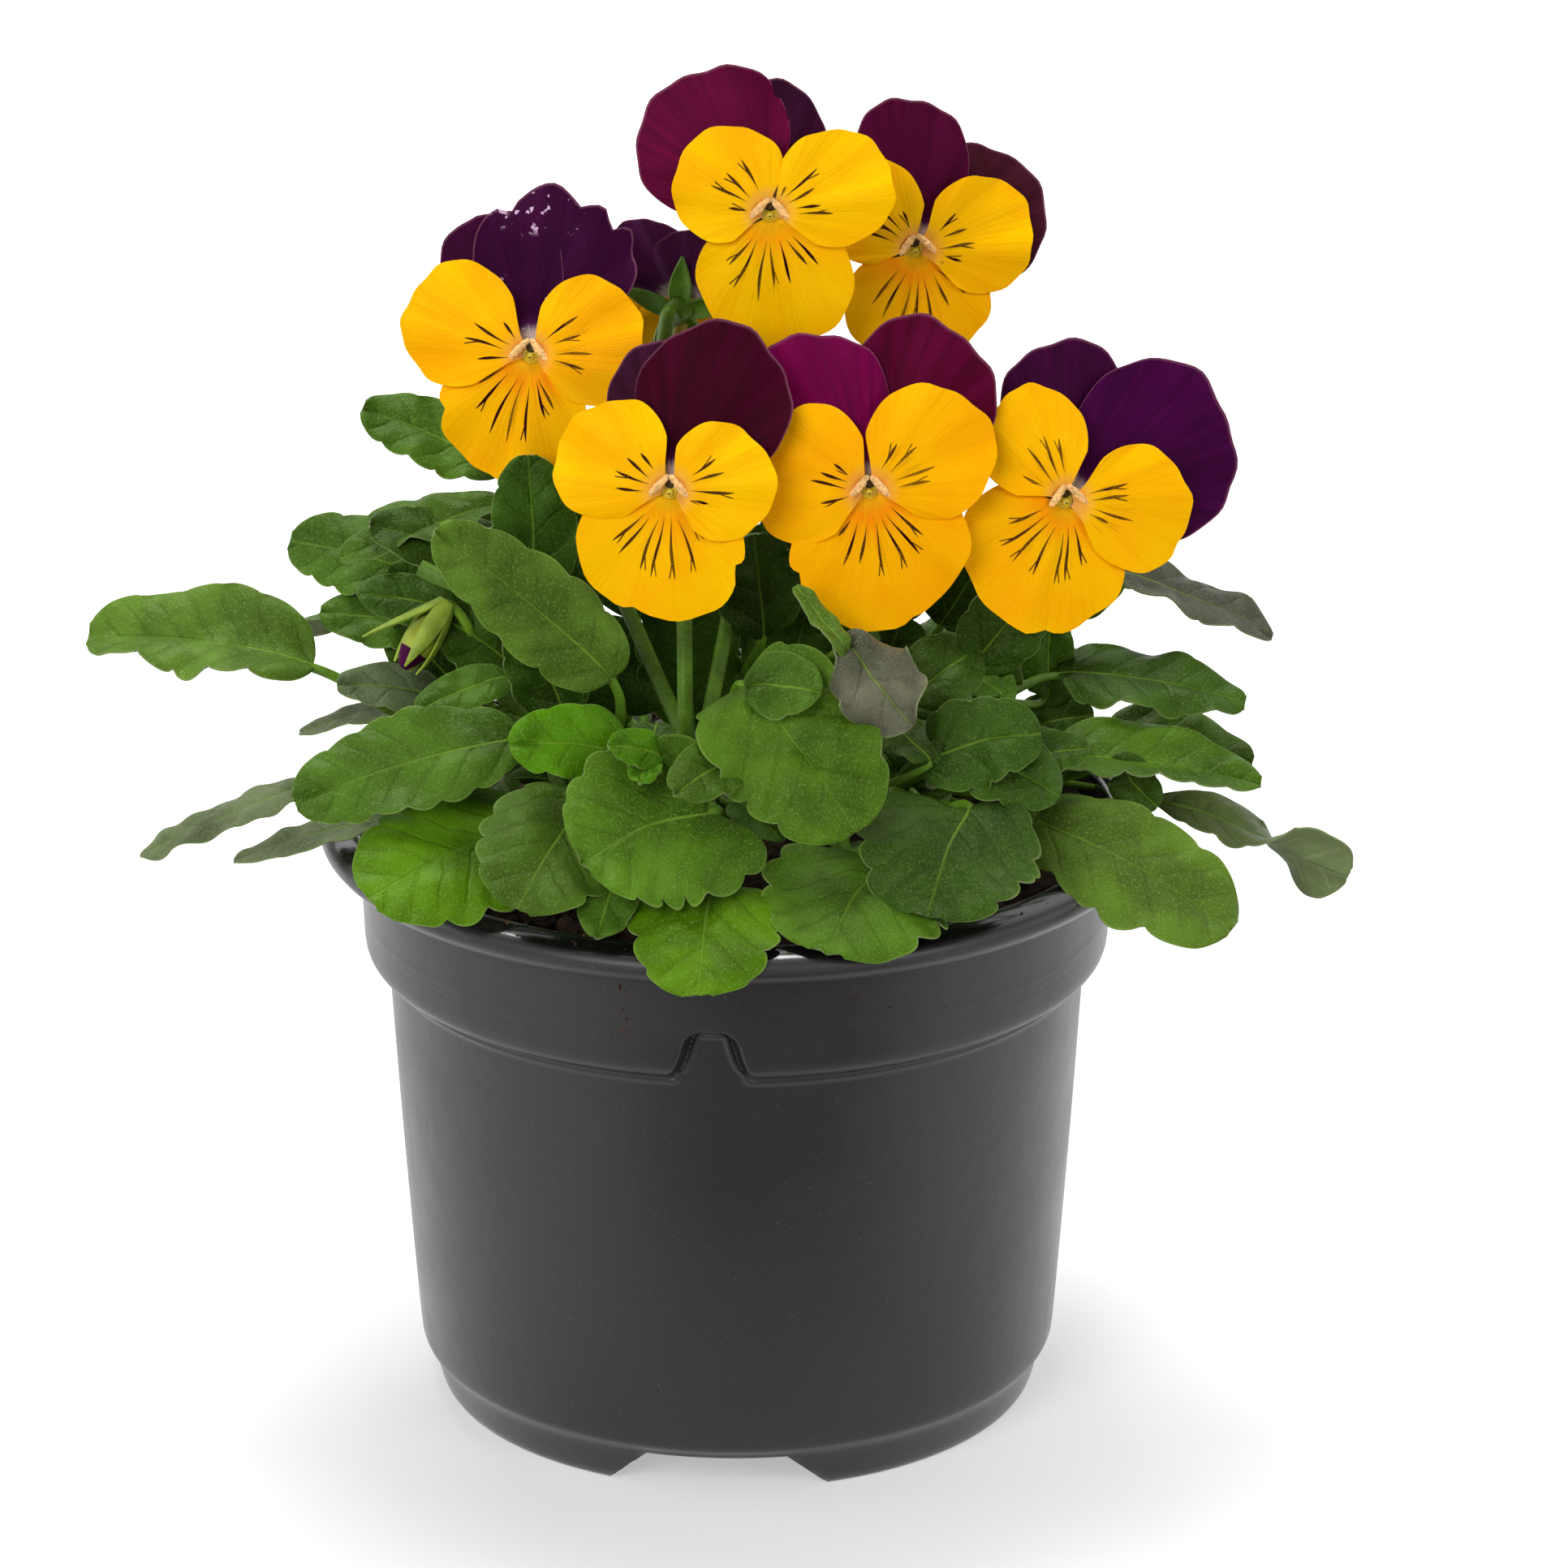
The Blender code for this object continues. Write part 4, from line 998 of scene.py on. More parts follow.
# %% How each leaf looks: tint, heart, teeth, fold, arch, wave, twist
TINTS = {
    "deep": (0.026, 0.062, 0.004), "moss": (0.034, 0.078, 0.005), "mid": (0.043, 0.097, 0.006),
    # light is a paler, bluer green than fresh: partly the leaf's own colour and partly the overhead
    # lamp's sheen, painted in.
    "fresh": (0.058, 0.128, 0.006), "light": (0.078, 0.150, 0.014),
    "bright": (0.062, 0.150, 0.001), "vivid": (0.056, 0.172, 0.001), "olive": (0.074, 0.106, 0.028),
    "grey": (0.105, 0.130, 0.062), "plum": (0.108, 0.102, 0.070), "dusk": (0.062, 0.058, 0.046),
}
GREY_UNDER = (0.165, 0.22, 0.090)
PLUM_UNDER = (0.165, 0.145, 0.110)
LOOKS = {
    "front_low": ("bright", 0.5, 5, 0.02, 0.12, 0.03, 0.0),
    "front_centre": ("fresh", 1.6, 6, 0.04, 0.10, 0.06, 0.0),
    "front_right_low": ("fresh", 0.2, 5, 0.04, 0.10, 0.04, 0.0),
    "front_right": ("deep", 0.6, 6, 0.05, 0.12, 0.04, 0.0),
    "right_large": ("light", 0.2, 4.6, 0.10, 0.16, 0.04, -0.1),
    "front_left_round": ("mid", 0.5, 5, 0.02, 0.12, 0.03, 0.0),
    "left_low": ("bright", 0.4, 5, 0.02, 0.10, 0.03, 0.0),
    "left_large": ("mid", 0.1, 7, 0.16, 0.16, 0.07, 0.0),
    "bright_left": ("vivid", 0.4, 4, 0.25, 0.20, 0.10, 0.0),
    "centre_large": ("fresh", 1.0, 5, 0.16, 0.16, 0.08, 0.0),
    "centre_small": ("mid", 0.0, 3, 0.10, 0.05, 0.03, 0.0),
    "centre_dark": ("deep", 0.0, 4, 0.15, 0.10, 0.04, 0.0),
    "centre_left_high": ("light", 0.1, 5, 0.30, 0.22, 0.06, 0.0),
    "curled_purple": ("plum", 0.0, 3, 0.55, 0.35, 0.50, 1.1),
    "right_mid": ("deep", 0.1, 5, 0.15, 0.12, 0.06, 0.0),
    "right_inner": ("deep", 0.0, 3, 0.15, 0.10, 0.05, 0.0),
    "far_left": ("light", 0.1, 6, 0.55, 0.20, 0.10, 0.0),
    "left_high_far": ("mid", 0.2, 6, 0.10, 0.12, 0.05, 0.0),
    "left_high_near": ("moss", 0.0, 5, 0.55, 0.30, 0.10, 0.0),
    "left_behind_flower": ("mid", 0.1, 5, 0.15, 0.12, 0.06, 0.0),
    "left_bud": ("mid", 0.0, 4, 0.15, 0.20, 0.05, 0.0),
    "left_mid": ("mid", 0.0, 3, 0.15, 0.20, 0.04, 0.0),
    "left_pale_low": ("grey", 0.0, 3, 0.12, 0.15, 0.01, 0.0),
    "left_pale_rim": ("grey", 0.0, 3, 0.12, 0.15, 0.01, 0.0),
    "right_high": ("dusk", 0.0, 5, 0.10, 0.10, 0.10, 0.15),
    "right_upper": ("deep", 0.1, 6, 0.20, 0.22, 0.20, 0.0),
    "right_middle_back": ("mid", 0.0, 5, 0.15, 0.20, 0.06, 0.0),
    "right_middle": ("fresh", 0.1, 6, 0.42, 0.10, 0.08, 0.0),
    "far_right": ("olive", 0.0, 6, 0.10, 0.05, 0.08, -2.4),
}
USUAL_LOOK = ("mid", 0.2, 6, 0.12, 0.15, 0.06, 0.0)


def full_look(look, rng):
    """A look with its colours, each leaf a little off the shade it is named for."""
    name, heart, teeth, fold, arch, wave, twist = look
    tint = np.array(TINTS[name]) * rng.uniform(0.9, 1.12) * rng.uniform(0.95, 1.05, 3)
    under = PLUM_UNDER if name in ("plum", "dusk") else GREY_UNDER
    return tint, heart, teeth, fold, arch, wave, twist, under


for number, (name, plan) in enumerate(LEAVES.items()):
    rng = np.random.default_rng(100 + number)
    shells = leaf(plan, full_look(LOOKS.get(name, USUAL_LOOK), rng), rng)
    piece("viola_leaf_" + name, shells, [leaf_skin, stem_skin], ["leaf_" + name])
print("leaves made:", len(LEAVES))

# %% [markdown]
# ## The small leaves between
#
# Between the big leaves the mound is filled by young ones that barely show singly but close every
# gap down to the soil.  A few have a place of their own, and the rest spring from seeded random
# places on the shoots, which is how such growth really looks.

# %% Young leaves with their own place: tint, shoot, place on it, base, tip, width, facing
YOUNG_BELLY = 0.8
YOUNG_LOOK = (0.1, 4, 0.18, 0.15, 0.06, 0.0)
YOUNG = [
    ("vivid", "front_right", 0.6, (3, -28, 100), (8, -34, 104), 6, (0, -0.8, 0.6)),
    ("vivid", "front", 0.9, (-10, -43, 113), (-17, -49, 117), 6, (0, -0.8, 0.6)),
    ("vivid", "front", 0.95, (-12, -42, 112), (-13, -50, 112), 5, (0, -0.8, 0.6)),
    ("mid", "front", 0.6, (-16, -47, 98), (-19, -58, 92), 9, (0, -0.6, 0.8)),
    ("mid", "front", 0.9, (0, -42, 112), (-8, -52, 111), 9, (0, -0.8, 0.6)),
    ("olive", "back_right", 0.7, (66, 14, 85), (78, 14, 81), 7, (0, -0.2, 1)),
    ("grey", "left", 0.85, (-47, 0, 105), (-64, 2, 100.8), 7, (0, -0.1, 1)),
    ("mid", "back_left", 0.95, (-34, 12, 131), (-54, 14, 130), 8, (0, -0.2, 1)),
    ("mid", "right", 0.95, (45, 2, 105), (46, 2, 118), 8, (0.2, -0.9, 0.2)),
    ("grey", "left", 0.9, (-42, -8, 109), (-57, -12, 113), 9, (0, -0.5, 0.8)),
    ("deep", "right", 0.8, (24, -20, 112), (35, -14, 119), 12, (0, -0.8, 0.5)),
    ("deep", "front_right", 0.7, (10, -30, 112), (20, -34, 120), 12, (0, -0.9, 0.4)),
    ("deep", "front_right", 0.95, (38, -26, 105), (50, -28, 109), 8, (0, -0.6, 0.8)),
    ("deep", "back_left", 0.5, (-16, 4, 102), (-20, 0, 118), 15, (0, -0.9, 0.3)),
    ("deep", "back", 0.5, (-6, 4, 101), (-8, -2, 125), 16, (0, -0.9, 0.3)),
    ("deep", "back_right", 0.5, (6, 4, 101), (12, -2, 125), 16, (0, -0.9, 0.3)),
    ("deep", "front_left", 0.95, (-28, -22, 128), (-29, -22, 150), 13, (0.1, -0.9, 0.3)),
    ("deep", "right", 0.8, (40, 4, 99), (52, 2, 103), 9, (0, -0.8, 0.5)),
    ("deep", "right", 0.6, (44, -4, 98), (58, -6, 102), 9, (0, -0.8, 0.5)),
    ("deep", "right", 0.5, (54, -12, 100), (61, -13, 94), 7, (0, -0.9, 0.3)),
    ("deep", "back_right", 0.8, (20, 2, 104), (24, -2, 119), 14, (0, -0.9, 0.3)),
    ("deep", "right", 0.8, (34, 0, 104), (37, -4, 118), 13, (0, -0.9, 0.3)),
    ("deep", "left", 0.8, (-40, 4, 106), (-50, 2, 116), 11, (0, -0.9, 0.3)),
    ("deep", "front_right", 0.85, (30, -30, 110), (46, -34, 104), 13, (0, -0.7, 0.7)),
    ("deep", "front_left", 0.8, (-26, -26, 106), (-48, -26, 112), 11, (0, -0.6, 0.8)),
    ("deep", "front_left", 0.9, (-24, -24, 112), (-30, -28, 128), 12, (0.1, -0.9, 0.3)),
    ("mid", "left", 0.9, (-36, 0, 114), (-50, 0, 126), 10, (0, -0.8, 0.5)),
    ("deep", "left", 0.95, (-38, -4, 120), (-54, -4, 124), 9, (0, -0.7, 0.7)),
    ("deep", "back", 0.95, (-12, 6, 118), (-20, 2, 138), 16, (0, -0.9, 0.4)),
    ("deep", "back", 0.9, (0, 4, 112), (-6, -2, 128), 15, (0, -0.9, 0.3)),
    ("deep", "back_right", 0.9, (18, 4, 116), (26, 0, 134), 16, (0, -0.9, 0.4)),
    ("deep", "back_right", 0.95, (30, 10, 114), (42, 8, 132), 14, (0, -0.9, 0.4)),
    ("deep", "left", 0.9, (-30, -4, 126), (-52, -8, 136), 12, (0, -0.6, 0.8)),
    ("mid", "back_left", 0.95, (-30, 8, 120), (-42, 6, 131), 13, (0, -0.9, 0.4)),
    ("deep", "left", 0.8, (-30, -8, 112), (-42, -10, 122), 12, (0, -0.8, 0.5)),
    ("deep", "back_right", 0.9, (36, 6, 116), (56, 2, 124), 12, (0, -0.7, 0.6)),
    ("deep", "right", 0.9, (34, -14, 116), (44, -14, 128), 12, (0.2, -0.9, 0.3)),
    ("deep", "back_left", 0.9, (-24, 6, 118), (-34, 2, 132), 13, (0, -0.9, 0.4)),
    ("deep", "back", 0.9, (6, 8, 116), (10, 2, 134), 15, (0, -0.9, 0.4)),
    ("light", "front_right", 0.4, (15.5, -41, 127), (9, -37, 136.5), 4.5, (0.7, -0.6, 0.5)),
]
groups = {"front": [], "right": [], "back": [], "left": []}
for number, (tint, *plan) in enumerate(YOUNG):
    rng = np.random.default_rng(300 + number)
    x, y = plan[3][:2]
    side = "front" if y < -20 and abs(x) < 40 else "left" if x < 0 else "right"
    groups[side] += leaf((*plan, YOUNG_BELLY), full_look((tint, *YOUNG_LOOK), rng), rng)
print("young leaves with a place:", len(YOUNG))

# %% Young leaves at random, kept over the pot and above its lip
FILLERS = 64
FILLER_TINTS = ("deep", "mid", "deep", "fresh")
QUARTERS = ("right", "back", "left", "front")
OUTWARD_PULL = 19 / 180
LOWEST_BASE, LOWEST_TIP = 92.5, 91.5
FRONT_LIMIT, BACK_LIMIT = 36, 47
rng = np.random.default_rng(77)
for number in range(FILLERS):
    shoot = list(SHOOTS)[number % len(SHOOTS)]
    place = rng.uniform(0.15, 0.95)
    start = shoot_point(shoot, place)
    outward = unit(start[:2] * OUTWARD_PULL + rng.normal(0, 0.55, 2))
    climb = rng.uniform(-0.15, 0.75)
    reach, length = rng.uniform(8, 20), rng.uniform(9, 17)
    base = start + np.array([*outward * reach, reach * climb])
    tip = base + np.array([*outward * length, length * (climb - 0.35)])
    base[2], tip[2] = max(base[2], LOWEST_BASE), max(tip[2], LOWEST_TIP)
    limit = BACK_LIMIT if tip[1] > 0 else FRONT_LIMIT
    tip[:2] *= min(1, limit / np.linalg.norm(tip[:2]))
    face = (outward[0] * 0.3, outward[1] * 0.3 - 0.25, 0.9)
    tint = FILLER_TINTS[number % len(FILLER_TINTS)]
    look = full_look((tint, 0.1, 4, 0.15, 0.15, 0.06, rng.uniform(-0.3, 0.3)), rng)
    bearing = np.degrees(np.arctan2(tip[1], tip[0]))
    side = QUARTERS[int((bearing + 45) % 360 // 90)]
    plan = (shoot, place, base, tip, length * rng.uniform(0.5, 0.72), face, YOUNG_BELLY)
    groups[side] += leaf(plan, look, rng, SMALL_GRID)
for side, shells in groups.items():
    piece("young_leaves_" + side, shells, [leaf_skin, stem_skin])
print("young leaves in all:", len(YOUNG) + FILLERS)

# %% [markdown]
# ## Flowers
#
# A viola's face has two upper petals behind, two wings beside, and one broad lip below that ends
# in a spur.  Each petal is a fan about the throat: its length changes with the bearing, and its
# height over the face with the distance out.  That gives the pinched claw and the round blade at
# once, where a subdivided plane would have to be pulled into shape thirty-five times.

# %% Where the flowers are: throat, yaw, pitch, shoot, place on it, bow of the stalk
FLOWERS = {
    1: ((5, -6, 181), -4, 14, "front", 0.82, (2, 6, 0)),
    2: ((26, 10, 171), 14, 16, "right", 0.62, (4, 6, 0)),
    3: ((-29, -12, 162), -12, 16, "front", 0.92, (-2, 6, 0)),
    4: ((-9, -34, 149), -8, 14, "front", 1.0, (0, 2, 0)),
    5: ((19, -28, 147), 3, 12, "right", 0.8, (-3, 5, 0)),
    6: ((47, -20, 143), 14, 16, "right", 1.0, (3, 5, 0)),
    7: ((-7, 22, 160.5), 165, 12, "back", 1.0, (0, -3, 0)),
}
print("flowers:", len(FLOWERS))

# %% Each flower's petals: bearing, length and width of the lip, the two wings and the two uppers
LIP, LEFT_WING, RIGHT_WING, FRONT_UPPER, REAR_UPPER = range(5)
PETALS = {
    1: ((-85, 19.0, 23.0), (145, 14.8, 17.8), (23, 18.0, 17.0), (130, 23.7, 22.2), (98, 18.6, 18.0)),
    2: ((-92, 17.0, 22.5), (135, 15.5, 15.5), (9, 17.7, 17.0), (87, 21.6, 18.4), (23, 21.2, 21.5)),
    3: ((-103, 18.2, 23.0), (160, 19.6, 17.4), (17, 17.0, 18.0), (82, 24.7, 24.0), (118, 21.8, 19.0)),
    4: ((-97, 18.5, 25.4), (153, 17.2, 17.2), (14, 14.9, 17.0), (67, 24.2, 22.5), (92, 20.6, 19.0)),
    5: ((-80, 19.7, 28.0), (163, 17.5, 19.5), (33, 19.0, 19.5), (121, 24.3, 20.5), (59, 25.4, 22.5)),
    6: ((-120, 19.3, 26.5), (117, 17.5, 16.0), (-10, 18.4, 17.5), (22, 28.0, 26.0), (79, 22.4, 20.5)),
    7: ((-90, 14.5, 18.0), (156, 13.0, 13.5), (24, 13.0, 13.5), (63, 15.2, 15.0), (117, 14.8, 14.5)),
}
LAYERS = (0.0, 0.9, 0.9, -1.9, -2.7)
print("petals:", sum(len(petals) for petals in PETALS.values()))


# %% A flower's own face
def face_axes(yaw, pitch):
    """Right, up and outward directions of a flower's face."""
    yaw, pitch = np.radians(yaw), np.radians(pitch)
    out = np.array([np.sin(yaw) * np.cos(pitch), -np.cos(yaw) * np.cos(pitch), np.sin(pitch)])
    right = np.array([np.cos(yaw), np.sin(yaw), 0.0])
    return right, np.cross(out, right), out


def in_face(flower, x, y, z):
    """Points given in a flower's own face, in the plant's frame."""
    right, up, out = face_axes(*flower[1:3])
    x, y, z = (np.asarray(part, float)[..., None] for part in (x, y, z))
    return np.asarray(flower[0], float) + right * x + up * y + out * z


print("the first face looks along", np.round(face_axes(*FLOWERS[1][1:3])[2], 2))

# %% One petal
PETAL_GRID = (34, 61)
PETAL_WALL = 0.34
WIDEST = 81


def saddle(x, y):
    """The face's own form: the upper half leans back and every rim curls back a little."""
    return -0.05 * (y + np.sqrt(y * y + 4)) + 0.1 - 0.004 * (x * x + y * y) + 0.04 * np.abs(x)


def petal(flower, outline, layer, tint, shape, rng):
    """A petal as a fan about the throat.

    Its length is cos(81 degrees * v)^0.45 of the longest, with v across it from -1 to 1, and a
    few slow waves and any notches are taken off that.  The wider it is for its length, the wider
    the angle over which it fans out.  The surface follows the face's saddle, with broad folds that
    fan out from the claw, a ripple that grows towards the rim, and for the lower three a dip into
    the throat.
    """
    ruffle, fold, notches = shape
    bearing, length, width = outline
    half_angle = min(82, 54 + 69 * (width / length - 0.935))
    u = np.linspace(0, 1, PETAL_GRID[0])[:, None] ** 0.9
    v = np.sin(np.linspace(-1, 1, PETAL_GRID[1]) * np.pi / 2)[None]
    slide = rng.uniform(0, 2 * np.pi, 8)
    turn = np.radians(half_angle) * v * (1 - 0.22 * (1 - u) ** 2)
    reach = length * np.cos(np.radians(WIDEST) * v) ** 0.45
    reach = reach * (1 + 0.022 * np.sin(4.2 * v + slide[0]) + 0.016 * np.sin(9 * v + slide[1])
                     + 0.008 * np.sin(23 * v + slide[2]))
    reach = reach * (1 - ruffle * 0.055 * (1 - np.abs(np.sin(7.0 * v + slide[3])) ** 0.8))
    for at, deep, wide in notches:
        reach = reach * (1 - deep * np.exp(-((v - at) / wide) ** 2))
    claw = 1.9 if layer < 0 else 1.2
    r = claw + (reach - claw) * u
    angle = np.radians(bearing) + turn
    x, y = r * np.cos(angle), r * np.sin(angle)
    out = rise(r, 2.5, length)
    folds = (0.55 * np.sin(6.5 * turn + slide[4]) + 0.28 * np.sin(14 * turn + slide[5])
             + 0.07 * np.sin(38 * turn + slide[6] + 0.12 * r)) * out
    ripple = (0.30 + 0.9 * ruffle) * np.sin(7.0 * turn + slide[7]) * u ** 5
    height = layer + saddle(x, y) + folds + ripple
    height = height - fold * np.exp(-(turn / 0.07) ** 2) * rise(r, 3, 9)
    if layer >= 0:
        height = height - 1.7 * np.exp(-((r - 1.2) / 1.25) ** 2)
    facts = np.stack(np.broadcast_arrays(np.degrees(turn), r, u), axis=-1)
    wall = PETAL_WALL - RIM_LOSS * u ** 4
    return sheet(in_face(flower, x, y, height), wall, petal=facts, tint=tint,
                 seed=rng.uniform(0, 40))


print("one petal has", 2 * PETAL_GRID[0] * PETAL_GRID[1], "points")

# %% [markdown]
# ## Yellow petals
#
# The lower petals are a warm egg yellow, orange round the throat.  Thin dark guide lines, the
# whiskers, run out from it: four on a wing and seven on the lip, tapered at both ends and often
# forked.  They are drawn by distance: at a point that is r out on the bearing a, a line on the
# bearing b is r * (a - b) away.

# %% The whiskers
DEGREE = np.pi / 180
FORK = 2.6
WHISKER = (0.020, 0.0006, 0.003)


def whiskers(tree, angle, radius, seed, step, offset, reach, start, end, droop):
    """Dark lines every step degrees within reach of the middle, from start to end out.

    Each line's chance, a random number of its own, moves it aside, bends it, sets its length and
    says whether it forks near its end.  Its half width is 0.19 sin(pi t^1.5) at the share t of
    its length, and the outer lines are shorter by the droop.
    """
    number = (angle / step + offset).math("FLOOR")
    chance = signal(tree, "TexWhiteNoise", "Value", {"W": number * 3.7 + seed},
                    noise_dimensions="1D")
    middle = (number + (chance - 0.5) * 0.5 + (0.5 - offset)) * step
    sway = (radius * 0.55 + chance * 20).math("SINE") * 0.16
    apart = (angle - middle) * radius * DEGREE + sway
    spread = middle * middle / (reach * reach)
    first = (chance * 13).math("FRACT") * 1.3 + start
    last = spread * (-droop) + ((chance * 29).math("FRACT") * 3.0 + (end - 2.0))
    along = (radius - first) / (last - first)
    inner = along.math("MAXIMUM", 0.0).math("MINIMUM", 1.0)
    half = (inner.math("POWER", 1.5) * np.pi).math("SINE") * 0.19 + 0.015
    line = (apart.math("ABSOLUTE") - half).ramp(-0.01, 0.03, 1, 0)
    line = line * along.ramp(0.0, 0.03) * along.ramp(0.97, 1.0, 1, 0)
    fork = (radius - (last - FORK)).math("MAXIMUM", 0.0) * 0.32
    lean = (chance * 7).math("FRACT").math("GREATER_THAN", 0.5) * 2 - 1
    branch = (apart * lean - fork).math("ABSOLUTE").ramp(0.07, 0.11, 1, 0)
    branch = branch * (chance * 17).math("FRACT").math("GREATER_THAN", 0.45)
    left = radius - last
    branch = branch * left.ramp(-FORK, 0.3 - FORK) * left.ramp(-0.5, -0.1, 1, 0)
    inside = middle.math("ABSOLUTE").ramp(reach - 0.5, reach + 0.5, 1, 0)
    return (line.math("MAXIMUM", branch) * inside).math("MINIMUM", 1.0)


print("whiskers fork", FORK, "mm from their ends")

# %% Finish of the yellow petals
def yellow_finish(name, lines, orange_reach, orange, base, base_tint):
    """A yellow petal: whiskers, the orange towards the throat and the pale base."""
    material, tree, shader = finish(name, 0.50, 0.03)
    place = where(tree)
    angle, radius = split(tint_of(tree, "petal"))[:2]
    seed, glow, upper = (fact(tree, key) for key in ("seed", "glow", "upper"))
    rays = noise(vector(angle * 0.12, radius * 0.05, seed), 1.0, 3)
    fine = noise(vector(angle * 0.55, radius * 0.10, seed + 7), 1.0)
    soft = noise(place, 90)
    colour = blend(soft.ramp(0.3, 0.7), (0.98, 0.46, 0.0), (0.99, 0.55, 0.0))
    colour = blend(fine.ramp(0.45, 0.75) * 0.26, colour, (0.95, 0.34, 0.0))
    near = (radius + rays * 9.0 - 4.5).ramp(1.5, orange_reach, 1, 0)
    colour = blend((near * glow * orange).math("MINIMUM", 1.0), colour, (0.97, 0.27, 0.002))
    colour = blend((radius + fine).ramp(*base, 1, 0) * 0.8, colour, base_tint)
    colour = blend(1.0, colour, tint_of(tree), "MULTIPLY")
    dark = whiskers(tree, angle, radius, seed, *lines) * upper
    paint(shader, blend(dark, colour, WHISKER), fine.ramp(0.3, 0.7, 0.44, 0.56))
    bump(shader, fine + noise(place, 3000) * 0.35 - dark * 0.3, 0.00014)
    return material


lip_finish = yellow_finish("yellow_lip", (14.5, 0.5, 52.0, 3.4, 12.2, 4.0), 8.5, 1.0,
                           (2.2, 4.4), (0.97, 0.60, 0.010))
wing_finish = yellow_finish("yellow_wing", (17.0, 0.0, 38.5, 2.9, 9.6, 3.4), 4.6, 0.3,
                            (1.6, 5.0), (0.95, 0.50, 0.12))
print("yellow finishes are ready")

# %% [markdown]
# ## Velvet petals
#
# The upper petals are so dark that their form shows only in the sheen of their velvet surface.
# Their colour runs from burgundy to violet between flowers, with faint lighter rays, a hair-thin
# pale rim, and a white claw that shows between the wings.

# %% Finish of the upper petals
velvet, tree, shader = finish("violet_velvet", 0.50, 0.03, Sheen_Weight=0.015,
                              Sheen_Roughness=0.4, Sheen_Tint=(0.85, 0.25, 0.6))
place = where(tree)
angle, radius, rim = split(tint_of(tree, "petal"))
seed, upper = fact(tree, "seed"), fact(tree, "upper")
rays = noise(vector(angle * 0.22, radius * 0.03, seed), 1.0, 3)
fine = noise(vector(angle * 0.9, radius * 0.06, seed + 9), 1.0)
cloud = noise(place, 80)
colour = shade(tint_of(tree), rays.ramp(0.3, 0.72, 0.78, 1.25))
colour = shade(colour, cloud.ramp(0.3, 0.7, 0.85, 1.2))
colour = blend(fine.ramp(0.55, 0.8) * 0.16, colour, shade(tint_of(tree), 2.0))
colour = blend(rim.ramp(0.975, 0.998) * 0.45, colour, (0.30, 0.10, 0.16))
colour = blend((radius + fine * 1.5).ramp(4.0, 7.0, 1, 0) * 0.5, colour, (0.16, 0.03, 0.17))
colour = blend((radius + rays * 2.0).ramp(3.8, 5.6, 1, 0) * 0.9, colour, (0.80, 0.66, 0.60))
flecks = noise(place, 620, 3).ramp(0.62, 0.66) * fact(tree, "flecks") * cloud.ramp(0.5, 0.6)
colour = blend(flecks, colour, (0.62, 0.42, 0.60))
colour = blend(upper * -0.2 + 0.2, colour, (0.15, 0.05, 0.12))
paint(shader, colour)
bump(shader, fine + noise(place, 3400) * 0.4, 0.00016)
print("velvet is ready")

# %% [markdown]
# ## Throat, beards and calyx
#
# In the throat sits the round green stigma with its dark mouth, roofed by two beards: cream ridges
# at the base of the wings, each covered in short hairs.  A dark ball higher in the throat, under the
# beards, is painted shade.  Hair particles would leave no mesh of their own, so each hair is a small
# tapered spike.  Behind, five pointed sepals hold the petals and the spur of the lip hangs between
# them.

# %% Finishes of the throat, in the order in which a face's piece holds them
LIP_SKIN, WING_SKIN, HAIR, STIGMA, MOUTH_AND_SHADE, SPUR_SKIN = range(6)

stigma_finish, tree, shader = finish("stigma_green", 0.38, 0.4)
place = where(tree)
patches = noise(place, 900).ramp(0.35, 0.7)
paint(shader, blend(patches, (0.56, 0.44, 0.015), (0.72, 0.56, 0.04)))
bump(shader, noise(place, 2600), 0.0001)
hair_finish, tree, shader = finish("cream_hair", 0.6, 0.2)
streak = noise(where(tree), 1600).ramp(0.3, 0.7, 0.8, 1.18)
paint(shader, shade(tint_of(tree), streak))
# Dark finish for the stigma's mouth and for the painted shade at the top of the throat.
dark_mouth_and_shade, tree, shader = finish("stigma_mouth_and_throat_shade", 0.5, 0.2)
paint(shader, blend(noise(where(tree), 2000, 1), (0.03, 0.02, 0.004), (0.07, 0.05, 0.01)))
FACE_FINISHES = [lip_finish, wing_finish, hair_finish, stigma_finish, dark_mouth_and_shade, stem_skin]
print("throat finishes are ready")

# %% Balls, hairs, beards and sepals
BEARD_TINT = (0.96, 0.60, 0.22)
HAIR_TINT = (0.96, 0.66, 0.29)
HAIRS = 380
SEPAL_TINT = (0.10, 0.21, 0.02)
SEPAL_WALL = 0.35


def ball(flower, centre, size, finish_number):
    """An ellipsoid in the flower's face: rings of radius sin(a) at height cos(a)."""
    a = np.linspace(0.08, np.pi - 0.08, 12)[:, None]
    b = np.linspace(0, 2 * np.pi, 18, endpoint=False)[None]
    x = centre[0] + size[0] * np.sin(a) * np.cos(b)
    y = centre[1] + size[1] * np.sin(a) * np.sin(b)
    z = centre[2] - size[2] * np.cos(a) + 0 * b
    return closed_rings(in_face(flower, x, y, z), finish_number)


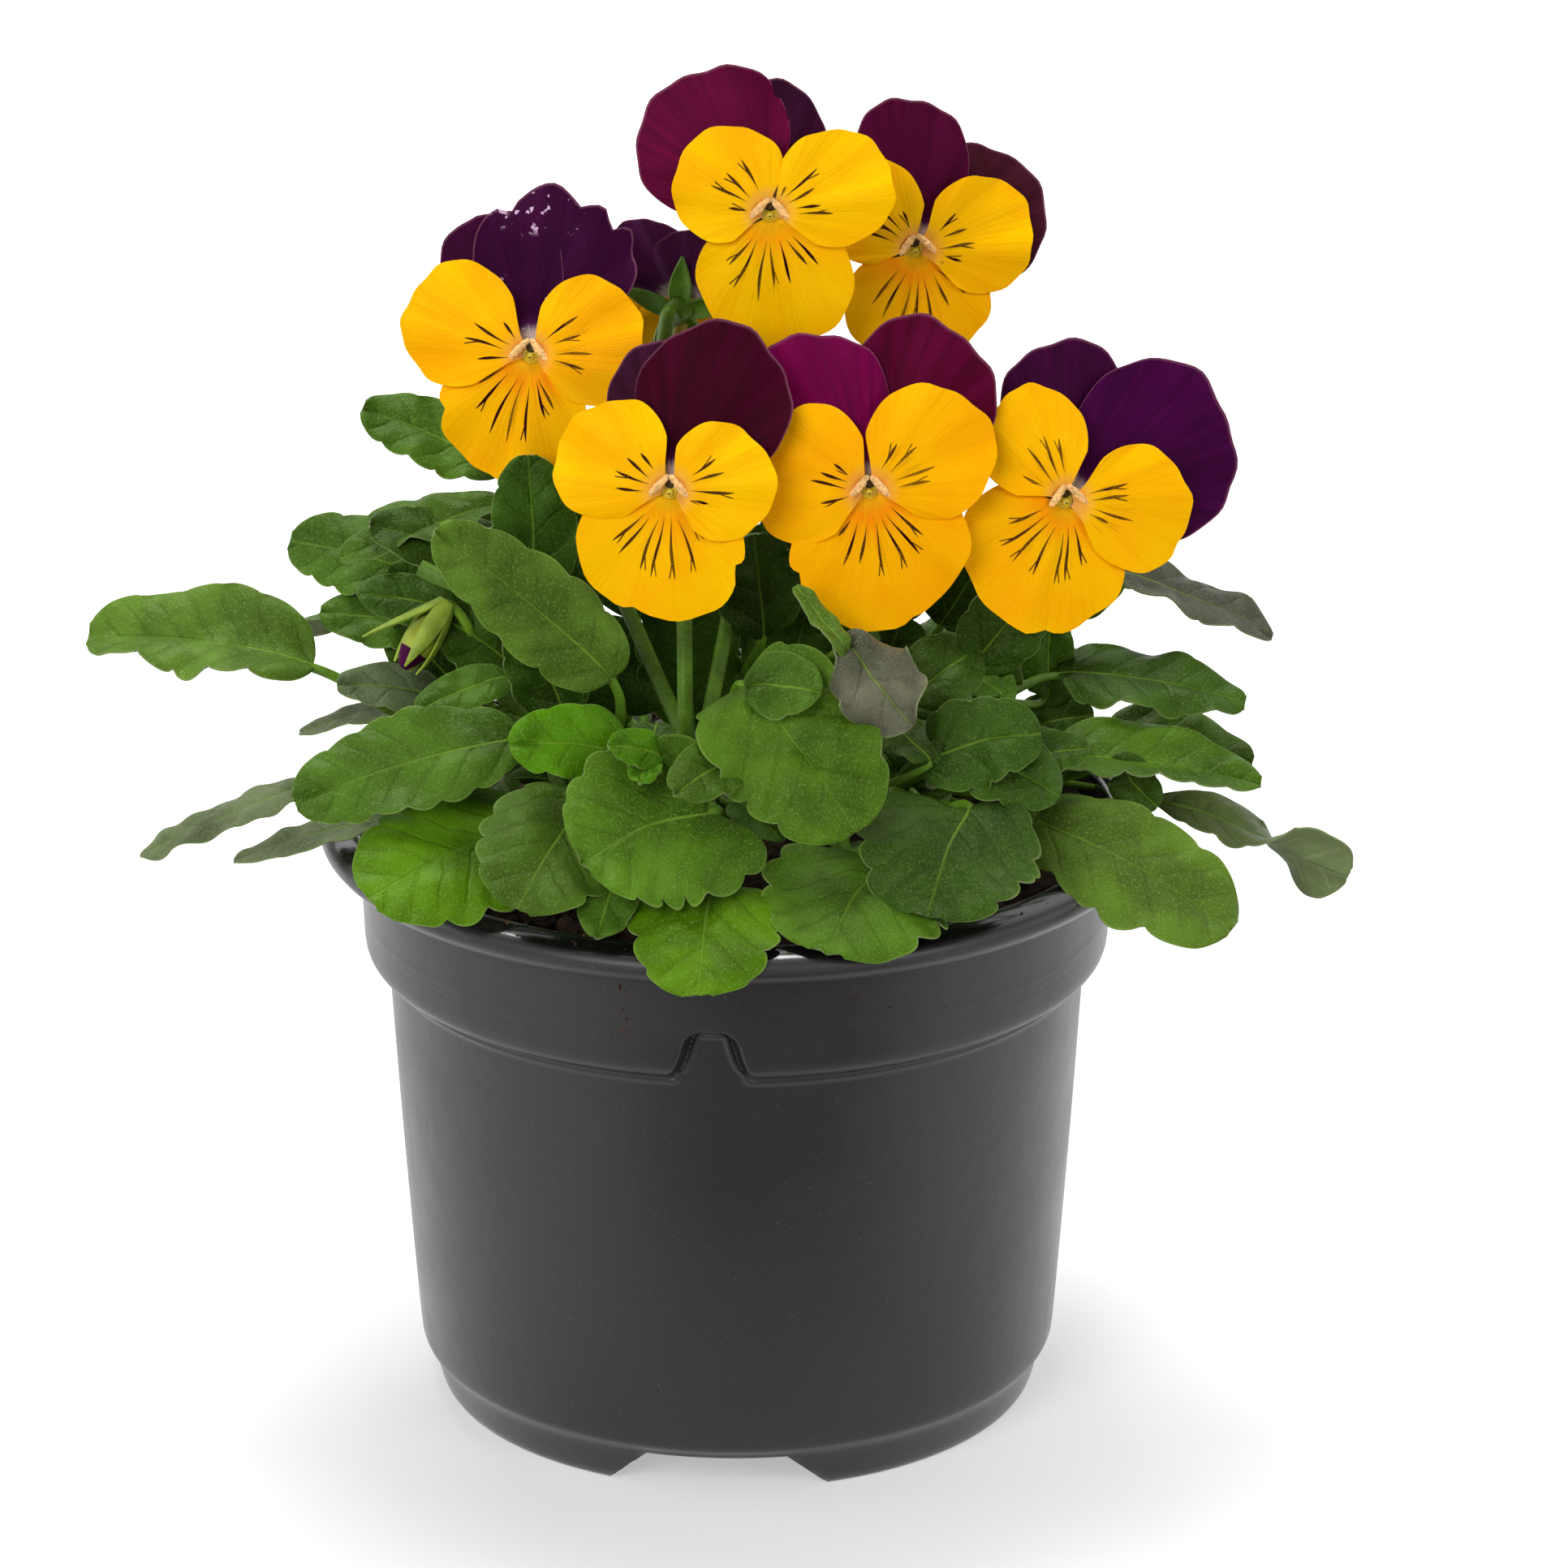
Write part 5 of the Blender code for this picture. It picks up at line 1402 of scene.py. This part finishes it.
def spikes(feet, ways, lengths, thick, finish_number, **facts):
    """Four-sided hairs from their feet along their ways, narrowing to a blunt end."""
    ways = unit(ways)
    side = unit(np.cross(ways, (0.31, 0.52, 0.79)))
    other = np.cross(ways, side)
    ring = np.stack([side, other, -side, -other], axis=1)
    share = np.array([1.0, 0.95, 0.45])[None, :, None, None] * thick
    at = np.array([0.0, 0.7, 1.0])[None, :, None, None]
    points = (feet[:, None, None] + ways[:, None, None] * at * lengths[:, None, None, None]
              + ring[:, None] * share)
    index = np.arange(12).reshape(3, 4)
    wrapped = np.concatenate([index, index[:, :1]], axis=1)
    faces = np.concatenate([quads(wrapped)[:, ::-1], index[:1, ::-1], index[2:]])
    return shell(points, copies(faces, len(feet), index.size), (), finish_number, **facts)


def beard(flower, side, rng):
    """A cream ridge from the top of the throat out along the wing, and the hairs that cover it.

    The ridge is t from 0 to 1 long and 0.14 + 0.30 sin(pi t)^0.6 thick, and it leans over the
    opening, as the hairs do.
    """
    def ridge(t, off):
        thick = 0.14 + 0.30 * np.sin(np.pi * np.clip(t, 0.01, 0.99)) ** 0.6
        x = side * (0.28 + 2.45 * t + 0.73 * thick * off)
        y = 2.3 - 2.65 * t + 0.68 * thick * off
        return x, y, 0.05 + 0.55 * t + 0.15 * np.sin(np.pi * t), thick

    x, y, z, thick = ridge(np.linspace(0, 1, 14), 0)
    pad = tube(in_face(flower, x, y, z), thick * 0.9, 10, HAIR, tint=BEARD_TINT)
    t = rng.uniform(0, 1, HAIRS)
    off = rng.uniform(-1, 1, HAIRS)
    x, y, z, thick = ridge(t, off)
    feet = in_face(flower, x, y, z + thick * 0.85 * np.sqrt(1 - 0.85 * off ** 2))
    lean = in_face(flower, -side * 0.6, -0.5, 0.65) - np.asarray(flower[0], float)
    ways = lean + rng.normal(0, 0.28, (HAIRS, 3))
    return [pad, spikes(feet, ways, rng.uniform(0.2, 0.42, HAIRS), 0.08, HAIR, tint=HAIR_TINT)]


def sepal(flower, bearing, rng):
    """A pointed green sepal: half width sin(pi s^0.8) narrowing to its tip, hollow along it."""
    s = np.linspace(0, 1, 16)[:, None]
    v = np.linspace(-1, 1, 7)[None]
    reach = 1.2 + 8.2 * s
    half = 1.55 * np.sin(np.pi * np.clip(0.16 + 0.84 * s, 0, 0.99) ** 0.8) + 0.08
    turn = np.radians(bearing)
    x = reach * np.cos(turn) - half * v * np.sin(turn)
    y = reach * np.sin(turn) + half * v * np.cos(turn)
    z = -4.9 + 0.5 * s - 0.45 * v * v * half + saddle(x, y) * 0.8 + 0.4 * np.sin(3 * s)
    tint = np.array(SEPAL_TINT) * rng.uniform(0.85, 1.2)
    return sheet(in_face(flower, x, y, z), SEPAL_WALL, tint=tint)


print("hairs on a flower:", 2 * HAIRS)

# %% Looks of each flower: tints of its upper petals and of its yellow, glow, flecks, shapes
PLAIN = (0.0, 0.0, ())
FLOWER_LOOKS = {
    1: ((0.098, 0.0015, 0.028), (0.026, 0.002, 0.016), (1.0, 1.0, 1.0), 0.75, 0.0,
        {LIP: (0.1, 0.34, ((0.14, 0.07, 0.06),))}),
    2: ((0.058, 0.001, 0.020), (0.048, 0.006, 0.014), (1.0, 0.96, 1.0), 0.95, 0.0,
        {LIP: (0.1, 0.2, ())}),
    3: ((0.031, 0.001, 0.023), (0.035, 0.001, 0.022), (1.0, 0.92, 1.0), 0.85, 1.0,
        {FRONT_UPPER: (1.4, 0.2, ((0.42, 0.08, 0.05), (-0.35, 0.10, 0.06))),
         REAR_UPPER: (0.8, 0.1, ()), LIP: (0.5, 0.1, ((-0.55, 0.07, 0.05),))}),
    4: ((0.038, 0.0003, 0.009), (0.030, 0.004, 0.016), (1.0, 1.0, 1.0), 0.62, 0.0,
        {LIP: (0.12, 0.12, ((0.62, 0.09, 0.05), (-0.10, 0.05, 0.05))),
         LEFT_WING: (0.1, 0.05, ())}),
    5: ((0.160, 0.0005, 0.054), (0.080, 0.0005, 0.020), (1.0, 0.88, 1.0), 1.0, 0.0,
        {LIP: (0.18, 0.55, ((-0.62, 0.07, 0.05), (0.10, 0.04, 0.05))), LEFT_WING: (0.08, 0.15, ())}),
    6: ((0.042, 0.0005, 0.034), (0.036, 0.001, 0.026), (1.0, 0.94, 1.0), 0.75, 0.0,
        {LIP: (0.2, 0.3, ((0.2, 0.04, 0.05),)), FRONT_UPPER: (0.15, 0.2, ())}),
    7: ((0.070, 0.001, 0.055), (0.055, 0.002, 0.045), (1.0, 0.95, 1.0), 0.7, 0.0, {}),
}
print("looks:", len(FLOWER_LOOKS))

# %% Flower heads, with the balls in the throat: centre, half sizes and finish of each
THROAT = (
    ((0, -0.15, -0.8), (0.62, 0.6, 0.62), STIGMA),
    ((0, -0.3, -0.28), (0.2, 0.14, 0.16), MOUTH_AND_SHADE),
    # Painted shade: a dark ball under the beards' apex, where the top of the throat is in shade.
    ((0, 1.1, -1.35), (0.9, 0.9, 0.9), MOUTH_AND_SHADE),
    ((0, -0.05, -1.75), (1.45, 1.3, 1.05), STIGMA),
)


def flower_heads(number, flower):
    """Shells of the lower petals with throat and beards, and shells of the upper petals."""
    front_tint, rear_tint, warm, glow, flecks, shapes = FLOWER_LOOKS[number]
    lower, upper = [], []
    for kind, (outline, layer) in enumerate(zip(PETALS[number], LAYERS)):
        rng = np.random.default_rng(1000 + 10 * number + kind)
        tint = {REAR_UPPER: rear_tint, FRONT_UPPER: front_tint}.get(kind, warm)
        made = petal(flower, outline, layer, tint, shapes.get(kind, PLAIN), rng)
        count = len(made["points"])
        if layer < 0:
            made["facts"]["flecks"] = np.full(count, flecks if kind == FRONT_UPPER else 0.0)
            upper.append(made)
        else:
            made["facts"]["glow"] = np.full(count, glow)
            made["finish"] = LIP_SKIN if kind == LIP else WING_SKIN
            lower.append(made)
    rng = np.random.default_rng(2000 + number)
    lower += beard(flower, -1, rng) + beard(flower, 1, rng)
    lower += [ball(flower, *part) for part in THROAT]
    t = np.linspace(0, 1, 14)
    spur = in_face(flower, 0 * t, -0.6 - 4.4 * t ** 1.3, -1.8 - 6.4 * t)
    girth = 1.15 - 0.35 * t + 0.2 * np.sin(np.pi * t)
    lower.append(tube(spur, girth, 12, SPUR_SKIN, tint=(0.42, 0.33, 0.05)))
    claw = in_face(flower, 0 * t, 2.4 - 1.4 * t, -2.2 - 2.2 * t)
    upper.append(tube(claw, 0.8, 10, 1, tint=(0.3, 0.3, 0.1)))
    return lower, upper


for number, flower in FLOWERS.items():
    lower, upper = flower_heads(number, flower)
    piece(f"viola_face_{number}", lower, FACE_FINISHES,
          [f"flower_{number}_lower_petals"])
    piece(f"viola_upper_petals_{number}", upper, [velvet, stem_skin],
          [f"flower_{number}_upper_petals"])
print("flower heads made:", len(FLOWERS))

# %% [markdown]
# ## Flower stalks
#
# Each stalk rises from its shoot, is faintly four-ridged, and hooks over behind the flower so that
# the face looks outwards.  It ends in the calyx, where the sepals spread under the petals.

# %% Stalks with their calyx
SEPALS = (90, 162, 234, 306, 18)
BRACTS_AT = 0.52
STALK = (0.075, 0.155, 0.008)
for number, flower in FLOWERS.items():
    rng = np.random.default_rng(3000 + number)
    shoot, place, bow = flower[3:]
    out = face_axes(*flower[1:3])[2]
    front = in_face(flower, 0.0, 0.4, -4.4)
    fall = front - out * 8.5 + np.array([0, 0, -6.0])
    root, start, way = springing(shoot, place, fall)
    knots = [start, start + way * 4, (start + fall) / 2 + np.asarray(bow, float), fall,
             front - out * 6.5 + np.array([0, 0, 2.0]), front - out * 3.5, front]
    t = np.linspace(0, 1, 70)
    girth = 1.12 + 0.14 * rise(-t, -0.1, 0) + 1.15 * rise(t, 0.86, 0.97) - 0.4 * rise(t, 0.97, 1)
    shells = [rooted_tube(root, curve(knots, t), girth, 18, 0, 0.06,
                          tint=np.array(STALK) * rng.uniform(0.85, 1.2))]
    shells += [sepal(flower, turn + rng.uniform(-8, 8), rng) for turn in SEPALS]
    base = curve(knots, BRACTS_AT)
    for side in (-1, 1):
        tip = base + np.array([side * 1.6, -0.6, 4.2])
        bract = curve([base, base + (side * 1.3, -0.4, 1.4), tip], np.linspace(0, 1, 9))
        shells.append(tube(bract, np.linspace(0.45, 0.08, 9), 8, tint=STEM))
    piece(f"viola_stalk_{number}", shells, [stem_skin],
          [f"flower_stalk_{number}"])
print("stalks made:", len(FLOWERS))

# %% [markdown]
# ## The bud and a cut stalk
#
# One bud nods on the left: pale pointed sepals round petals that are still rolled, with the dark
# tip just showing.  Above it ends a stalk whose spent flower was snipped off.

# %% Bud
BUD_TOP = np.array([-42.0, -10, 123.4])
BUD_TIP = np.array([-47.5, -13.5, 116])
BUD_SEPALS = 5
PETALS_FROM, SEPALS_TO = 14, 18
root, start, way = springing("left", 1.0, BUD_TOP)
along = BUD_TIP - BUD_TOP
knots = [start, start + way * 3, BUD_TOP + (3.5, 1.0, -3.0), BUD_TOP + (0.8, 0.3, 0.6),
         BUD_TOP + along * 0.2]
line = curve(knots, np.linspace(0, 1, 40))
bud = [rooted_tube(root, line, np.linspace(0.8, 0.75, 40), 12, 0, 0.06,
                   tint=(0.16, 0.29, 0.02))]
t = np.linspace(0, 1, 26)
swell = 0.35 + 2.05 * np.sin(np.pi * np.clip(0.06 + 0.92 * t, 0, 1)) ** 0.8
core = BUD_TOP + along * (0.12 + 0.92 * t)[:, None]
bud.append(tube(core[:SEPALS_TO], swell[:SEPALS_TO], 16, 0, 0.03, tint=(0.36, 0.42, 0.05)))
bud.append(tube(core[PETALS_FROM:], swell[PETALS_FROM:] * 0.96, 16, 1, 0.05,
                tint=(0.075, 0.006, 0.05), petal=(0, 14, 0.4), upper=1.0))
print("bud core:", len(bud), "tubes")

# %% The bud's sepals, of which one stands away
OPEN_SEPAL = 2
axis = unit(along)
side = unit(np.cross(axis, (0, 1, 0)))
other = np.cross(axis, side)
s = np.linspace(0, 1, 18)[:, None]
v = np.linspace(-1, 1, 7)[None]
half = 1.3 * np.sin(np.pi * np.clip(0.12 + 0.88 * s, 0, 0.99) ** 0.75) + 0.04
closed = 0.5 + 2.3 * np.sin(np.pi * (0.08 + 0.66 * s)) ** 0.9 - 0.28 * v * v * half
run = -1.2 + 11.2 * s + 0 * v
for number in range(BUD_SEPALS):
    turn = 2 * np.pi * number / BUD_SEPALS + 0.4
    outward = side * np.cos(turn) + other * np.sin(turn)
    around = np.cross(axis, outward)
    off = closed + (number == OPEN_SEPAL) * 5.5 * s ** 1.6
    points = (BUD_TOP + axis * run[..., None] + outward * off[..., None]
              + around * (half * v)[..., None])
    bud.append(sheet(points[:, ::-1], SEPAL_WALL, tint=(0.30, 0.42, 0.045)))
piece("nodding_bud", bud, [stem_skin, velvet], ["flower_bud"])
print("bud shells:", len(bud))

# %% Cut stalk
root, start, way = springing("left", 0.7, (-35, -18, 127))
line = curve([start, start + (0, -2, 6), (-33, -16, 125), (-45, -14, 131)], np.linspace(0, 1, 40))
stub = rooted_tube(root, line, 1.3, 14, 0, 0.06, tint=(0.075, 0.155, 0.01))
piece("cut_stalk", [stub], [stem_skin])
print("cut stalk made")
